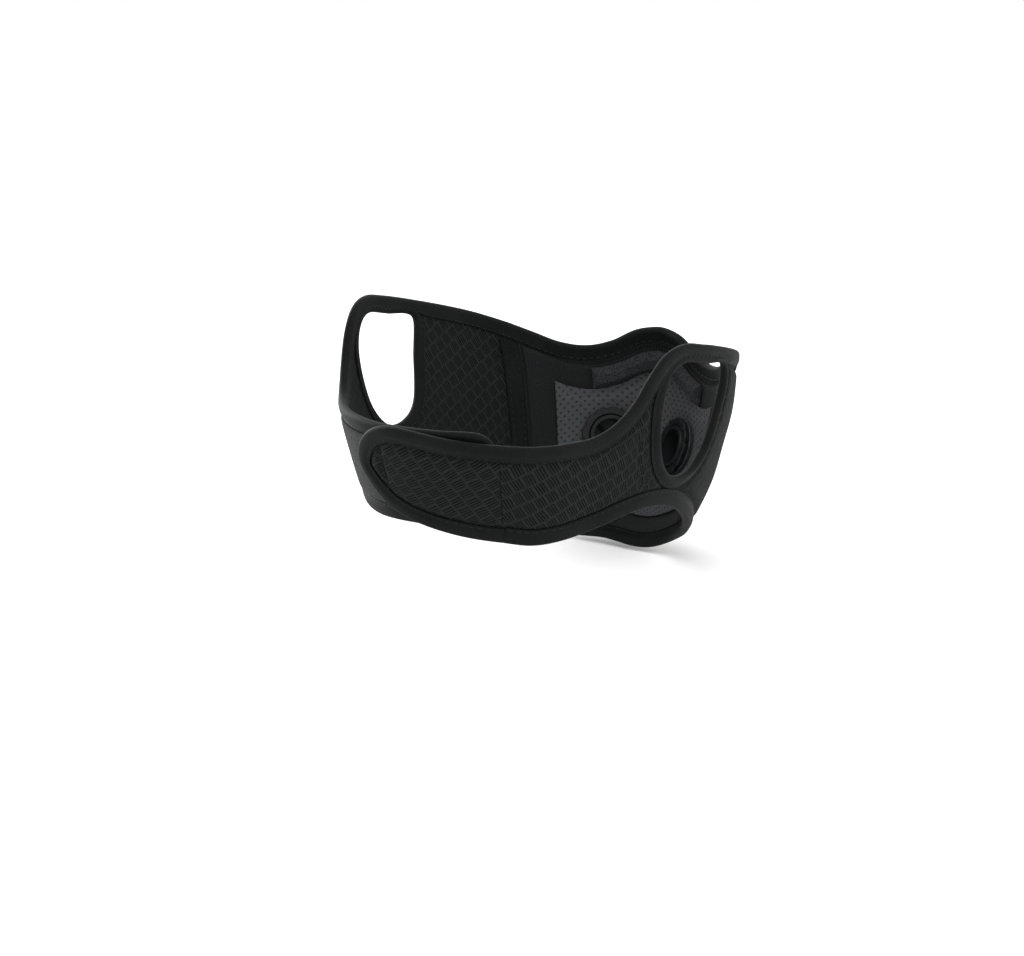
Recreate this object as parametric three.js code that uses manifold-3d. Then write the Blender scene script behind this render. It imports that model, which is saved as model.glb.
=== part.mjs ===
// A half-face cloth mask in its worn shape. It wraps from the nose and chin, round the ears,
// to a hook-and-loop closure behind the neck.
//
// Frame: millimetres, +Z up, the front of the mask faces -Y, the wearer's right is -X.
// The origin is on the head's mid-plane, midway between the two ear openings.
//
// Every cloth piece lies on one wrap surface. A place on it has three coordinates:
//   a  degrees round the head, 0 at the nose, + to the wearer's right, 180 at the nape
//   m  millimetres up the surface, measured as height at the ears
//   d  millimetres out from the wearer's side of the outer cloth, along the surface's normal
import * as THREE from 'three';
import { mergeVertices } from 'three/addons/utils/BufferGeometryUtils.js';
import Module from 'manifold-3d';

const wasm = await Module();
wasm.setup();

// ---------------------------------------------------------------- driving dimensions
const HALF_WIDTH = 73.5;      // mid-plane to the cloth at the ears
const FRONT_REACH = 98;       // ear line to the cloth in front of the mouth
const BACK_REACH = 92;        // ear line to the strap at the back of the head

const PANEL = 2.0;            // mesh-faced foam laminate of the outer panels
const LINING = 1.2;           // knitted lining of the front
const FILTER = 1.2;           // loose filter sheet behind the lining
const FILTER_SLACK = 0.7;     // room between the filter and the lining
const TAPE = 0.6;             // folded edge binding, one thickness
const GAP = 0.3;              // clearance between neighbours
const SEAM_ALLOWANCE = 0.9;   // turned cloth edges behind the cheek seam
const BINDING_ARM = 5.5;      // how far the edge binding reaches over the cloth
const EAR_ARM = 4.0;          // the same round the ear openings
const LOOP_PILE = 0.7;        // loop patch on the left strap
const HOOK_PILE = 0.8;        // hook patch under the closure tab
const TAB = 1.8;              // closure tab laminate

const CHEEK_SEAM = 48;        // where the side panels are sewn to the front, degrees
const TAB_SEAM = 153;         // where the closure tab is sewn to the right strap
const TAB_TIP = 202.5;        // end of the closure tab, past the nape on the left strap
const LEFT_END = 206;         // end of the left strap, under the tab, degrees round from the front
const SEAM_HALF_GAP = 0.25;   // degrees either side of a butted seam
const SWING_ROOM = 0.9;       // degrees between the front bindings' ends and the cheek seam
const LIFT_START = 122;       // where the right strap starts to rise over the left one

const VALVE_ANGLE = 18.5;     // exhaust valves, degrees either side of the nose
const VALVE_HEIGHT = -36;
const BARREL_RADIUS = 9.0;    // valve seat through the cloth
const BARREL_WALL = 1.6;
const FLANGE_WIDTH = 3.5;
const FLANGE_RISE = 2.2;      // flange top above the cloth's outer face
const DIAPHRAGM = 0.6;
const DIAPHRAGM_LAP = 1.5;    // rubber disc over the bore's rim
const CAP_WALL = 2.2;
const CAP_HEIGHT = 4.0;
const GASKET_HEIGHT = 2.6;    // least height of the rubber gasket, below the filter
const RING_HEIGHT = 2.1;
const BARREL_PROUD = 0.4;     // barrel past the lock ring

// Valve sizes that follow from those. Heights run along the valve's axis from the inner face
// of the outer cloth.
const PORT_RADIUS = BARREL_RADIUS + GAP;
const BORE_RADIUS = BARREL_RADIUS - BARREL_WALL;
const FLANGE_RADIUS = BARREL_RADIUS + FLANGE_WIDTH;
const FLANGE_TOP = PANEL + FLANGE_RISE;
const DIAPHRAGM_RADIUS = BORE_RADIUS + DIAPHRAGM_LAP;
const GASKET_DEPTH = GAP + LINING + FILTER_SLACK + FILTER + GASKET_HEIGHT;
const BARREL_END = -(GASKET_DEPTH + GAP + RING_HEIGHT + BARREL_PROUD);

// Sections of the wrap from chin to ear level: height m, shares of the half width, front
// reach and back reach, height at the front, pointedness front and back, nose-ridge height.
const SECTIONS = [
  [-116, 0.520, 0.400, 0.619, -66, 0.10, 0, 0],
  [-100, 0.540, 0.550, 0.639, -68, 0.12, 0, 0],
  [-84, 0.590, 0.690, 0.670, -66, 0.14, 0, 1],
  [-68, 0.670, 0.820, 0.711, -59, 0.14, 0, 3],
  [-50, 0.770, 0.925, 0.763, -48, 0.13, -0.03, 4],
  [-35, 0.847, 0.981, 0.814, -35, 0.12, -0.05, 5],
  [-20, 0.904, 1.000, 0.876, -20, 0.11, -0.05, 6],
  [-5, 0.955, 0.990, 0.938, -5, 0.08, -0.03, 7],
  [15, 1.000, 0.893, 1.000, 15, 0.02, 0, 7],
  [40, 1.013, 0.786, 1.041, 40, 0, 0, 5],
];
const RIDGE_SPREAD = 14;      // degrees

// Edges as [a, m]: over the nose, under the eyes, above the ear, down to the strap.
const TOP_EDGE = [
  [0, 13], [8, 10.5], [16, 5], [24, 2.5], [32, 4], [40, 9], [48, 14], [60, 20], [80, 27.3],
  [92, 31], [100, 33], [106.5, 30], [111.5, 22], [115.8, 12.5], [121, 5], [126.5, 1.2],
  [133, 0.2], [142, 0], [153, 0.6],
];
// Under the chin, along the jaw, under the ear, along the strap.
const BOTTOM_EDGE = [
  [0, -98], [10, -97], [20, -93], [30, -85], [40, -75], [48, -67.5], [60, -57.5], [70, -49.5],
  [81, -40.6], [91, -33.7], [99, -30.7], [107, -30.2], [115, -32.2], [121, -34.8], [128, -37],
  [134, -38.2], [144, -38.8], [153, -37.8],
];
// The left strap goes on past the nape to its rounded end.
const LEFT_TOP = [
  [142, 0.2], [153, 0.6], [165, 1], [177, 1.6], [190, 1.8], [198, 1.9], [201, 1], [204, -2],
  [206, -8],
];
const LEFT_BOTTOM = [
  [134, -38], [144, -38.6], [153, -38.6], [165, -37.6], [177, -36.6], [190, -36], [198, -35.6],
  [201, -34.6], [204, -31], [206, -25],
];
const TAB_TOP = [
  [153, 0.6], [165, 1.6], [177, 3.2], [185, 3.8], [190, 2.8], [194, 0.4], [198, -3.6],
  [201, -8.6], [202.5, -12],
];
const TAB_BOTTOM = [
  [153, -37.8], [165, -36.8], [177, -34.6], [186, -32], [193, -28], [198, -22.6], [201, -17.6],
  [202.5, -14.6],
];
// Ear opening, a D with its straight side to the front.
const EAR_HOLE = [
  [78.3, 20.5], [90, 24.6], [100, 27], [105.6, 21], [107, 8], [104, -10], [97, -20.3],
  [88, -21], [81.5, -14], [79, 3],
];

// ---------------------------------------------------------------- curves and the wrap
// Cubic through the points, each slope taken across its two neighbours.
function curve(x, points, column = 1) {
  const last = points.length - 1;
  const t = THREE.MathUtils.clamp(x, points[0][0], points[last][0]);
  let i = 0;
  while (i < last - 1 && t > points[i + 1][0]) i += 1;
  const slope = (k) => {
    const before = points[Math.max(k - 1, 0)];
    const after = points[Math.min(k + 1, last)];
    return (after[column] - before[column]) / (after[0] - before[0]);
  };
  const step = points[i + 1][0] - points[i][0];
  const s = (t - points[i][0]) / step;
  const start = (2 * s ** 3 - 3 * s ** 2 + 1) * points[i][column];
  const end = (3 * s ** 2 - 2 * s ** 3) * points[i + 1][column];
  const leave = (s ** 3 - 2 * s ** 2 + s) * step * slope(i);
  const arrive = (s ** 3 - s ** 2) * step * slope(i + 1);
  return start + end + leave + arrive;
}

function wrapPoint(a, m) {
  const angle = THREE.MathUtils.degToRad(a);
  const c = Math.cos(angle);
  const s = Math.sin(angle);
  const [width, front, back, frontHeight, frontPoint, backPoint, ridge] =
    [1, 2, 3, 4, 5, 6, 7].map((column) => curve(m, SECTIONS, column));
  const nose = ridge * Math.exp(-((a / RIDGE_SPREAD) ** 2));
  const y = c > 0
    ? -FRONT_REACH * front * c * (1 - frontPoint * s * s) - nose
    : -BACK_REACH * back * c * (1 - backPoint * s * s);
  return new THREE.Vector3(-HALF_WIDTH * width * s, y, m + (frontHeight - m) * Math.max(c, 0));
}

const PROBE = 0.01;

function tangents(a, m) {
  const alongA = wrapPoint(a + PROBE, m).sub(wrapPoint(a - PROBE, m)).divideScalar(2 * PROBE);
  const alongM = wrapPoint(a, m + PROBE).sub(wrapPoint(a, m - PROBE)).divideScalar(2 * PROBE);
  return [alongA, alongM];
}

function outward(a, m) {
  const [alongA, alongM] = tangents(a, m);
  return alongM.cross(alongA).normalize();
}

const skin = (a, m, d) => wrapPoint(a, m).addScaledVector(outward(a, m), d);

// The right strap rises by this much so that the tab on its end lies over the left strap.
const CLOSURE_LIFT = PANEL + GAP + LOOP_PILE + GAP + HOOK_PILE + GAP;

function rightLift(a) {
  const t = THREE.MathUtils.clamp((a - LIFT_START) / (TAB_SEAM - 5 - LIFT_START), 0, 1);
  return CLOSURE_LIFT * t * t * (3 - 2 * t);
}

const topEdge = (a) => curve(Math.abs(a), TOP_EDGE);
const bottomEdge = (a) => curve(Math.abs(a), BOTTOM_EDGE);
const joined = (near, far) => [...near.filter(([a]) => a < far[0][0]), ...far];
const LEFT_TOP_EDGE = joined(TOP_EDGE, LEFT_TOP);
const LEFT_BOTTOM_EDGE = joined(BOTTOM_EDGE, LEFT_BOTTOM);
const leftTop = (a) => curve(Math.abs(a), LEFT_TOP_EDGE);
const leftBottom = (a) => curve(Math.abs(a), LEFT_BOTTOM_EDGE);
const tabTop = (a) => curve(a, TAB_TOP);
const tabBottom = (a) => curve(a, TAB_BOTTOM);

// ---------------------------------------------------------------- solids
// One closed body from points and triangles: equal points merged, faces turned outward.
function closedBody(points, triangles) {
  const raw = new THREE.BufferGeometry();
  raw.setAttribute('position', new THREE.Float32BufferAttribute(points.flatMap((p) => [...p]), 3));
  raw.setIndex(triangles.flat());
  return tidy(raw);
}

function tidy(geometry) {
  const bare = geometry.clone();
  bare.deleteAttribute('normal');
  bare.deleteAttribute('uv');
  const merged = mergeVertices(bare, 1e-4);
  const corners = [...merged.index.array];
  const kept = [];
  for (let k = 0; k < corners.length; k += 3) {
    const [p, q, r] = corners.slice(k, k + 3);
    if (p !== q && q !== r && r !== p) kept.push([p, q, r]);
  }
  const at = (i) => new THREE.Vector3().fromBufferAttribute(merged.attributes.position, i);
  const volume = kept.reduce((sum, [p, q, r]) => sum + at(p).dot(at(q).cross(at(r))), 0);
  merged.setIndex(kept.flatMap(([p, q, r]) => (volume < 0 ? [p, r, q] : [p, q, r])));
  return merged;
}

function manifold(geometry) {
  const body = tidy(geometry);
  return new wasm.Manifold(new wasm.Mesh({
    numProp: 3,
    vertProperties: new Float32Array(body.attributes.position.array),
    triVerts: new Uint32Array(body.index.array),
  }));
}

function fromManifold(solid) {
  const mesh = solid.getMesh();
  const geometry = new THREE.BufferGeometry();
  geometry.setAttribute('position', new THREE.BufferAttribute(mesh.vertProperties, 3));
  geometry.setIndex(new THREE.BufferAttribute(mesh.triVerts, 1));
  return geometry;
}

const cut = (geometry, ...tools) =>
  fromManifold(tools.reduce((solid, tool) => solid.subtract(manifold(tool)), manifold(geometry)));

// Evenly spaced stations that always include both ends.
function stations(from, to, step) {
  const count = Math.max(1, Math.round(Math.abs(to - from) / step));
  return Array.from({ length: count + 1 }, (_, i) => from + (to - from) * i / count);
}

// A layer of cloth between the depths inner and outer, over the columns a, from the height
// low(a) to high(a). Its rows follow those of the outer panels, so layers stay parallel.
function clothLayer(columns, low, high, rows, inner, outer, guideLow = low, guideHigh = high) {
  const depth = (value, a) => (typeof value === 'function' ? value(a) : value);
  const points = [];
  for (const a of columns) {
    for (let j = 0; j <= rows; j += 1) {
      const guide = guideLow(a) + (guideHigh(a) - guideLow(a)) * j / rows;
      const inside = THREE.MathUtils.clamp(guide, low(a), high(a));
      const m = j === 0 ? low(a) : j === rows ? high(a) : inside;
      points.push(skin(a, m, depth(inner, a)), skin(a, m, depth(outer, a)));
    }
  }
  const triangles = [];
  const quad = (p, q, r, s) => triangles.push([p, q, r], [p, r, s]);
  const inAt = (i, j) => 2 * (i * (rows + 1) + j);
  const outAt = (i, j) => inAt(i, j) + 1;
  const last = columns.length - 1;
  for (let i = 0; i < last; i += 1) {
    for (let j = 0; j < rows; j += 1) {
      quad(outAt(i, j), outAt(i, j + 1), outAt(i + 1, j + 1), outAt(i + 1, j));
      quad(inAt(i, j), inAt(i + 1, j), inAt(i + 1, j + 1), inAt(i, j + 1));
    }
    quad(outAt(i, 0), outAt(i + 1, 0), inAt(i + 1, 0), inAt(i, 0));
    quad(outAt(i, rows), inAt(i, rows), inAt(i + 1, rows), outAt(i + 1, rows));
  }
  for (let j = 0; j < rows; j += 1) {
    quad(outAt(0, j + 1), outAt(0, j), inAt(0, j), inAt(0, j + 1));
    quad(outAt(last, j), outAt(last, j + 1), inAt(last, j + 1), inAt(last, j));
  }
  return closedBody(points, triangles);
}

// A closed outline of [a, m] pushed through the wrap, for cutting openings.
function punch(outline, inner, outer) {
  const flat = outline.map(([a, m]) => new THREE.Vector2(a, m));
  const count = outline.length;
  const points = [
    ...outline.map(([a, m]) => skin(a, m, inner)),
    ...outline.map(([a, m]) => skin(a, m, outer)),
  ];
  const lid = THREE.ShapeUtils.triangulateShape(flat, []);
  const triangles = [...lid, ...lid.map(([p, q, r]) => [p + count, r + count, q + count])];
  for (let i = 0; i < count; i += 1) {
    const next = (i + 1) % count;
    triangles.push([i, i + count, next + count], [i, next + count, next]);
  }
  // The lids and the wall must agree on which way is out.
  const turn = THREE.ShapeUtils.area(flat) < 0;
  const wallStart = 2 * lid.length;
  return closedBody(points, triangles.map(([p, q, r], k) => (
    k >= wallStart && turn ? [p, r, q] : [p, q, r])));
}

// Binding tape folded over an edge. The path of [a, m] runs with the cloth on the side of
// normal x direction; arm(a) is the reach over the cloth, lift(a) the cloth's rise.
function binding(path, cloth, arm, lift = () => 0, loop = false) {
  const fold = GAP + TAPE;
  const profile = (reach) => [
    [-fold, -fold], [reach, -fold], [reach, -GAP], [-GAP, -GAP],
    [-GAP, cloth + GAP], [reach, cloth + GAP], [reach, cloth + fold], [-fold, cloth + fold],
  ];
  const count = path.length;
  const points = [];
  path.forEach(([a, m], i) => {
    const before = path[loop ? (i + count - 1) % count : Math.max(i - 1, 0)];
    const after = path[loop ? (i + 1) % count : Math.min(i + 1, count - 1)];
    const [alongA, alongM] = tangents(a, m);
    const forward = alongA.clone().multiplyScalar(after[0] - before[0])
      .addScaledVector(alongM, after[1] - before[1]).normalize();
    const inward = outward(a, m).cross(forward);
    // Write the inward step in terms of the two surface directions.
    const aa = alongA.dot(alongA);
    const am = alongA.dot(alongM);
    const mm = alongM.dot(alongM);
    const scale = aa * mm - am * am;
    const da = (inward.dot(alongA) * mm - inward.dot(alongM) * am) / scale;
    const dm = (inward.dot(alongM) * aa - inward.dot(alongA) * am) / scale;
    for (const [s, d] of profile(arm(a, m))) points.push(skin(a + da * s, m + dm * s, d + lift(a)));
  });
  const corners = profile(1).map(([s, d]) => new THREE.Vector2(s, d));
  const size = corners.length;
  const triangles = [];
  for (let i = 0; i < (loop ? count : count - 1); i += 1) {
    const here = i * size;
    const there = ((i + 1) % count) * size;
    for (let k = 0; k < size; k += 1) {
      const next = (k + 1) % size;
      triangles.push([here + k, here + next, there + next], [here + k, there + next, there + k]);
    }
  }
  if (!loop) {
    const lid = THREE.ShapeUtils.triangulateShape(corners, []);
    const end = (count - 1) * size;
    triangles.push(...lid.map(([p, q, r]) => [p, r, q]));
    triangles.push(...lid.map(([p, q, r]) => [p + end, q + end, r + end]));
  }
  return closedBody(points, triangles);
}

const mirrored = (path) => path.map(([a, m]) => [-a, m]).reverse();

// ---------------------------------------------------------------- materials and nodes
const mask = new THREE.Group();
const finish = (color, roughness, metalness = 0) =>
  new THREE.MeshStandardMaterial({ color, roughness, metalness });
const meshFabric = finish(0x1e201f, 0.92);
const printedFabric = finish(0x3d4033, 0.9);
const liningKnit = finish(0x26282a, 0.95);
const bindingTape = finish(0x1a1c1c, 0.8);
const loopPile = finish(0x202222, 1);
const hookTape = finish(0x141515, 0.7);
const filterFelt = finish(0x6d7172, 0.95);
const foam = finish(0x2b2d2e, 1);
const aluminium = finish(0xb4b8ba, 0.4, 1);
const plastic = finish(0x17191a, 0.5);
const rubber = finish(0x333638, 0.6);

function add(name, geometry, material, parent = mask) {
  const mesh = new THREE.Mesh(geometry, material);
  mesh.name = name;
  parent.add(mesh);
  return mesh;
}

const FRONT_STEP = 4;         // degrees between columns of the front pieces
const SIDE_STEP = 6;
const FRONT_ROWS = 14;
const SIDE_ROWS = 8;
const seamIn = CHEEK_SEAM - SEAM_HALF_GAP;
const seamOut = CHEEK_SEAM + SEAM_HALF_GAP;
const sides = [['right', 1], ['left', -1]];

// ---------------------------------------------------------------- valve places
// Each valve has a group whose own Z runs outward through the port.
const ports = Object.fromEntries(sides.map(([name, side]) => {
  const group = new THREE.Group();
  const a = side * VALVE_ANGLE;
  group.position.copy(skin(a, VALVE_HEIGHT, 0));
  group.quaternion.setFromUnitVectors(new THREE.Vector3(0, 0, 1), outward(a, VALVE_HEIGHT));
  group.updateMatrix();
  mask.add(group);
  return [name, group];
}));

const ROUND = 22;              // facets of a round valve piece

function ring(innerRadius, outerRadius, from, to, segments = ROUND) {
  const profile = [
    [innerRadius, from], [outerRadius, from], [outerRadius, to], [innerRadius, to],
    [innerRadius, from],
  ].map(([r, w]) => new THREE.Vector2(r, w));
  return new THREE.LatheGeometry(profile, segments).rotateX(Math.PI / 2);
}

function disc(radius, from, to, segments = ROUND) {
  return new THREE.CylinderGeometry(radius, radius, to - from, segments)
    .rotateX(Math.PI / 2).translate(0, 0, (from + to) / 2);
}

const portDrill = (name) => disc(PORT_RADIUS, -12, 12).applyMatrix4(ports[name].matrix);

// ---------------------------------------------------------------- front of the mask
const LINING_MARGIN = BINDING_ARM + 2.2;
const liningLow = (a) => bottomEdge(a) + LINING_MARGIN;
const liningHigh = (a) => topEdge(a) - LINING_MARGIN;
const liningDepth = -GAP - LINING;
const filterOuter = liningDepth - FILTER_SLACK;
const filterDepth = filterOuter - FILTER;
const FILTER_SPREAD = 36;     // degrees either side of the nose
const FILTER_INSET = 18;      // below the top edge and above the chin edge

const panelColumns = stations(SEAM_HALF_GAP, seamIn, FRONT_STEP);
for (const [name, side] of sides) {
  const columns = panelColumns.map((a) => side * a);
  const panel = clothLayer(columns, bottomEdge, topEdge, FRONT_ROWS, 0, PANEL);
  add(`cup_panel_${name}`, cut(panel, portDrill(name)), printedFabric);

  const liningColumns = stations(SEAM_HALF_GAP, CHEEK_SEAM - 4, FRONT_STEP).map((a) => side * a);
  const lining = clothLayer(liningColumns, liningLow, liningHigh, FRONT_ROWS,
    liningDepth, -GAP, bottomEdge, topEdge);
  add(`cup_lining_${name}`, cut(lining, portDrill(name)), liningKnit);

  const tapeColumns = [-2.6, 0, 2.6].map((a) => side * (CHEEK_SEAM + a));
  add(`cheek_seam_tape_${name}`, clothLayer(tapeColumns, liningLow, liningHigh, 10,
    -SEAM_ALLOWANCE - TAPE, -SEAM_ALLOWANCE), bindingTape);
}

const TAPE_SPREAD = 3;        // degrees either side of the centre seam
const POCKET_TOP = BINDING_ARM + 0.9;
const POCKET_HEIGHT = 9;
const POCKET_SPREAD = 28;
const CLIP_HEIGHT = 5;
const CLIP_THICKNESS = 0.8;
const CLIP_SPREAD = 24;
const clipOuter = PANEL + GAP + CLIP_THICKNESS;
add('centre_seam_tape', clothLayer([-TAPE_SPREAD, 0, TAPE_SPREAD],
  (a) => bottomEdge(a) + BINDING_ARM + GAP * 2,
  (a) => topEdge(a) - POCKET_TOP - POCKET_HEIGHT - 1, FRONT_ROWS,
  PANEL + GAP, PANEL + GAP + TAPE), bindingTape);

const pocketLow = (a) => topEdge(a) - POCKET_TOP - POCKET_HEIGHT;
const clipLow = (a) => pocketLow(a) + (POCKET_HEIGHT - CLIP_HEIGHT) / 2;
add('nose_clip', clothLayer(stations(-CLIP_SPREAD, CLIP_SPREAD, FRONT_STEP), clipLow,
  (a) => clipLow(a) + CLIP_HEIGHT, 1, PANEL + GAP, clipOuter), aluminium);
add('nose_clip_pocket', clothLayer(stations(-POCKET_SPREAD, POCKET_SPREAD, FRONT_STEP),
  pocketLow, (a) => topEdge(a) - POCKET_TOP, 2, clipOuter + GAP, clipOuter + GAP + TAPE),
printedFabric);

const FOAM_THICKNESS = 3.5;
const FOAM_HEIGHT = 10;
const FOAM_SPREAD = 24;
add('nose_foam', clothLayer(stations(-FOAM_SPREAD, FOAM_SPREAD, FRONT_STEP),
  (a) => liningHigh(a) - FOAM_HEIGHT, (a) => liningHigh(a) - 0.5, 2,
  filterOuter - FOAM_THICKNESS, filterOuter), foam);

const filterColumns = stations(-FILTER_SPREAD, FILTER_SPREAD, 6);
const filterSheet = clothLayer(filterColumns, (a) => bottomEdge(a) + FILTER_INSET,
  (a) => topEdge(a) - FILTER_INSET, 9, filterDepth, filterOuter);
add('filter_insert', cut(filterSheet, portDrill('right'), portDrill('left')), filterFelt);

// The front bindings follow the panels' own columns, and stop short of the cheek seam to
// leave the side panels room to swing.
const frontHalf = [...panelColumns.slice(0, -1), seamIn - SWING_ROOM];
const frontPath = [...frontHalf.map((a) => -a).reverse(), ...frontHalf];
add('top_binding_front', binding(frontPath.map((a) => [a, topEdge(a)]), PANEL,
  () => BINDING_ARM), bindingTape);
add('bottom_binding_front', binding(frontPath.map((a) => [a, bottomEdge(a)]).reverse(), PANEL,
  () => BINDING_ARM), bindingTape);

// ---------------------------------------------------------------- side panels and straps
const EAR_POINTS_PER_SPAN = 3;

function smoothLoop(points, perSpan) {
  const path = new THREE.CatmullRomCurve3(
    points.map(([a, m]) => new THREE.Vector3(a, m, 0)), true, 'catmullrom', 0.5);
  return path.getPoints(points.length * perSpan).slice(0, -1).map((p) => [p.x, p.y]);
}
const earLoop = smoothLoop(EAR_HOLE, EAR_POINTS_PER_SPAN);
const strapTopAngle = 118;    // below this the top binding and the ear binding share a strip
const stripStart = 76;
const stripArm = 2.2;         // reach of each of the two bindings on that strip
const onStrip = (a) => Math.abs(a) > stripStart && Math.abs(a) < strapTopAngle;
const stripBlend = (a) => {
  const x = Math.abs(a);
  const rise = THREE.MathUtils.smoothstep(x, stripStart - 8, stripStart);
  const fall = 1 - THREE.MathUtils.smoothstep(x, strapTopAngle - 6, strapTopAngle);
  return Math.min(rise, fall);
};
const topArm = (a, m) => (m > -15 ? BINDING_ARM + (stripArm - BINDING_ARM) * stripBlend(a)
  : BINDING_ARM - 1.6 * stripBlend(a));
const earArm = (a, m) => {
  const high = THREE.MathUtils.smoothstep(m, 6, 18);
  return EAR_ARM + (stripArm - EAR_ARM) * high * (onStrip(a) ? 1 : 0);
};

// Columns are closer where the top edge is steep behind the ear, and at the strap's round end.
const besideEar = [...stations(seamOut, 98, SIDE_STEP), ...stations(102, 117, 3)];
const rightEnd = TAB_SEAM - SEAM_HALF_GAP;
const rightColumns = [...besideEar, ...stations(121, rightEnd, SIDE_STEP)];
const leftColumns = [...besideEar, ...stations(121, LEFT_END - 9, SIDE_STEP),
  ...stations(LEFT_END - 6, LEFT_END, 2)].map((a) => -a);
const flat = () => 0;

const rightPanel = clothLayer(rightColumns, bottomEdge, topEdge, SIDE_ROWS, rightLift,
  (a) => rightLift(a) + PANEL);
const leftPanel = clothLayer(leftColumns, leftBottom, leftTop, SIDE_ROWS, 0, PANEL);
add('side_panel_right', cut(rightPanel, punch(earLoop, -8, 10)), meshFabric);
add('side_panel_left', cut(leftPanel, punch(mirrored(earLoop), -8, 10)), meshFabric);

// Paths run so that the cloth is on the binding's inner side.
const rightTopPath = rightColumns.map((a) => [a, topEdge(a)]);
const rightBottomPath = rightColumns.map((a) => [a, bottomEdge(a)]).reverse();
const endColumns = leftColumns.map((a) => Math.abs(a));
const leftPath = [
  ...endColumns.map((a) => [-a, leftBottom(a)]),
  [-LEFT_END, (leftBottom(LEFT_END) + leftTop(LEFT_END)) / 2],
  ...endColumns.map((a) => [-a, leftTop(a)]).reverse(),
];
add('top_binding_right', binding(rightTopPath, PANEL, topArm, rightLift), bindingTape);
add('bottom_binding_right', binding(rightBottomPath, PANEL, topArm, rightLift), bindingTape);
add('strap_binding_left', binding(leftPath, PANEL, topArm, flat), bindingTape);
add('ear_binding_right', binding([...earLoop].reverse(), PANEL, earArm, rightLift, true),
  bindingTape);
add('ear_binding_left', binding(mirrored([...earLoop].reverse()), PANEL, earArm, flat, true),
  bindingTape);

// ---------------------------------------------------------------- closure behind the neck
const tabInner = CLOSURE_LIFT;
const tabColumns = stations(TAB_SEAM + SEAM_HALF_GAP, 195, SIDE_STEP).concat([198, 200.5, TAB_TIP]);
add('closure_tab', clothLayer(tabColumns, tabBottom, tabTop, SIDE_ROWS, tabInner,
  tabInner + TAB), meshFabric);
const tabPath = [
  ...tabColumns.map((a) => [a, tabTop(a)]),
  ...tabColumns.map((a) => [a, tabBottom(a)]).reverse(),
];
add('tab_binding', binding(tabPath, TAB, () => BINDING_ARM, () => tabInner), bindingTape);

const PATCH_MARGIN = BINDING_ARM + 0.8;
const hookColumns = stations(TAB_SEAM + 6, 190, SIDE_STEP);
const hookInner = PANEL + GAP + LOOP_PILE + GAP;
add('hook_patch', clothLayer(hookColumns, (a) => tabBottom(a) + PATCH_MARGIN + 1,
  (a) => tabTop(a) - PATCH_MARGIN - 1, 3, hookInner, hookInner + HOOK_PILE), hookTape);
const loopColumns = stations(130, 196, SIDE_STEP).map((a) => -a);
add('loop_patch', clothLayer(loopColumns, (a) => leftBottom(a) + PATCH_MARGIN,
  (a) => leftTop(a) - PATCH_MARGIN, 3, PANEL + GAP, PANEL + GAP + LOOP_PILE), loopPile);

// ---------------------------------------------------------------- exhaust valves
// A seat clamps the cloth between its flange outside and a gasket and lock ring inside.
// A rubber diaphragm lies on the seat and lifts on breathing out, under a slotted cap.
const CROSS_BAR = 1.4;
const NOTCHES = 6;
const SLOT_START = 3.2;
const SLOT_END = 1.7;
const SLOT_WIDTH = 1.8;
const capBase = FLANGE_TOP + GAP;
const capTop = capBase + CAP_HEIGHT;
const capBore = FLANGE_RADIUS - CAP_WALL;
const lockTop = -GASKET_DEPTH - GAP;

// The cloth near a port, between two depths, in that port's own frame.
function clothNearPort(name, side, inner, outer) {
  const reach = 16;
  const columns = stations(side * (VALVE_ANGLE - reach), side * (VALVE_ANGLE + reach), FRONT_STEP);
  const layer = clothLayer(columns, () => VALVE_HEIGHT - 22, () => VALVE_HEIGHT + 22, 8,
    inner, outer);
  return layer.applyMatrix4(ports[name].matrix.clone().invert());
}

function valveCap() {
  const shell = new THREE.LatheGeometry([
    [0, capTop - 1.3], [7, capTop - 1.6], [capBore, capTop - 2.2], [capBore, capBase],
    [FLANGE_RADIUS, capBase], [FLANGE_RADIUS, capBase + 1.2], [FLANGE_RADIUS - 2, capTop - 1.2],
    [7, capTop - 0.3], [0, capTop],
  ].map(([r, w]) => new THREE.Vector2(r, w)), ROUND).rotateX(Math.PI / 2);
  const slotLength = capBore - SLOT_START - SLOT_END;
  const slots = Array.from({ length: NOTCHES }, (_, i) =>
    new THREE.BoxGeometry(slotLength, SLOT_WIDTH, CAP_HEIGHT + 4)
      .translate(SLOT_START + slotLength / 2, 0, capTop).rotateZ(i * 2 * Math.PI / NOTCHES));
  return cut(shell, ...slots);
}

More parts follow.
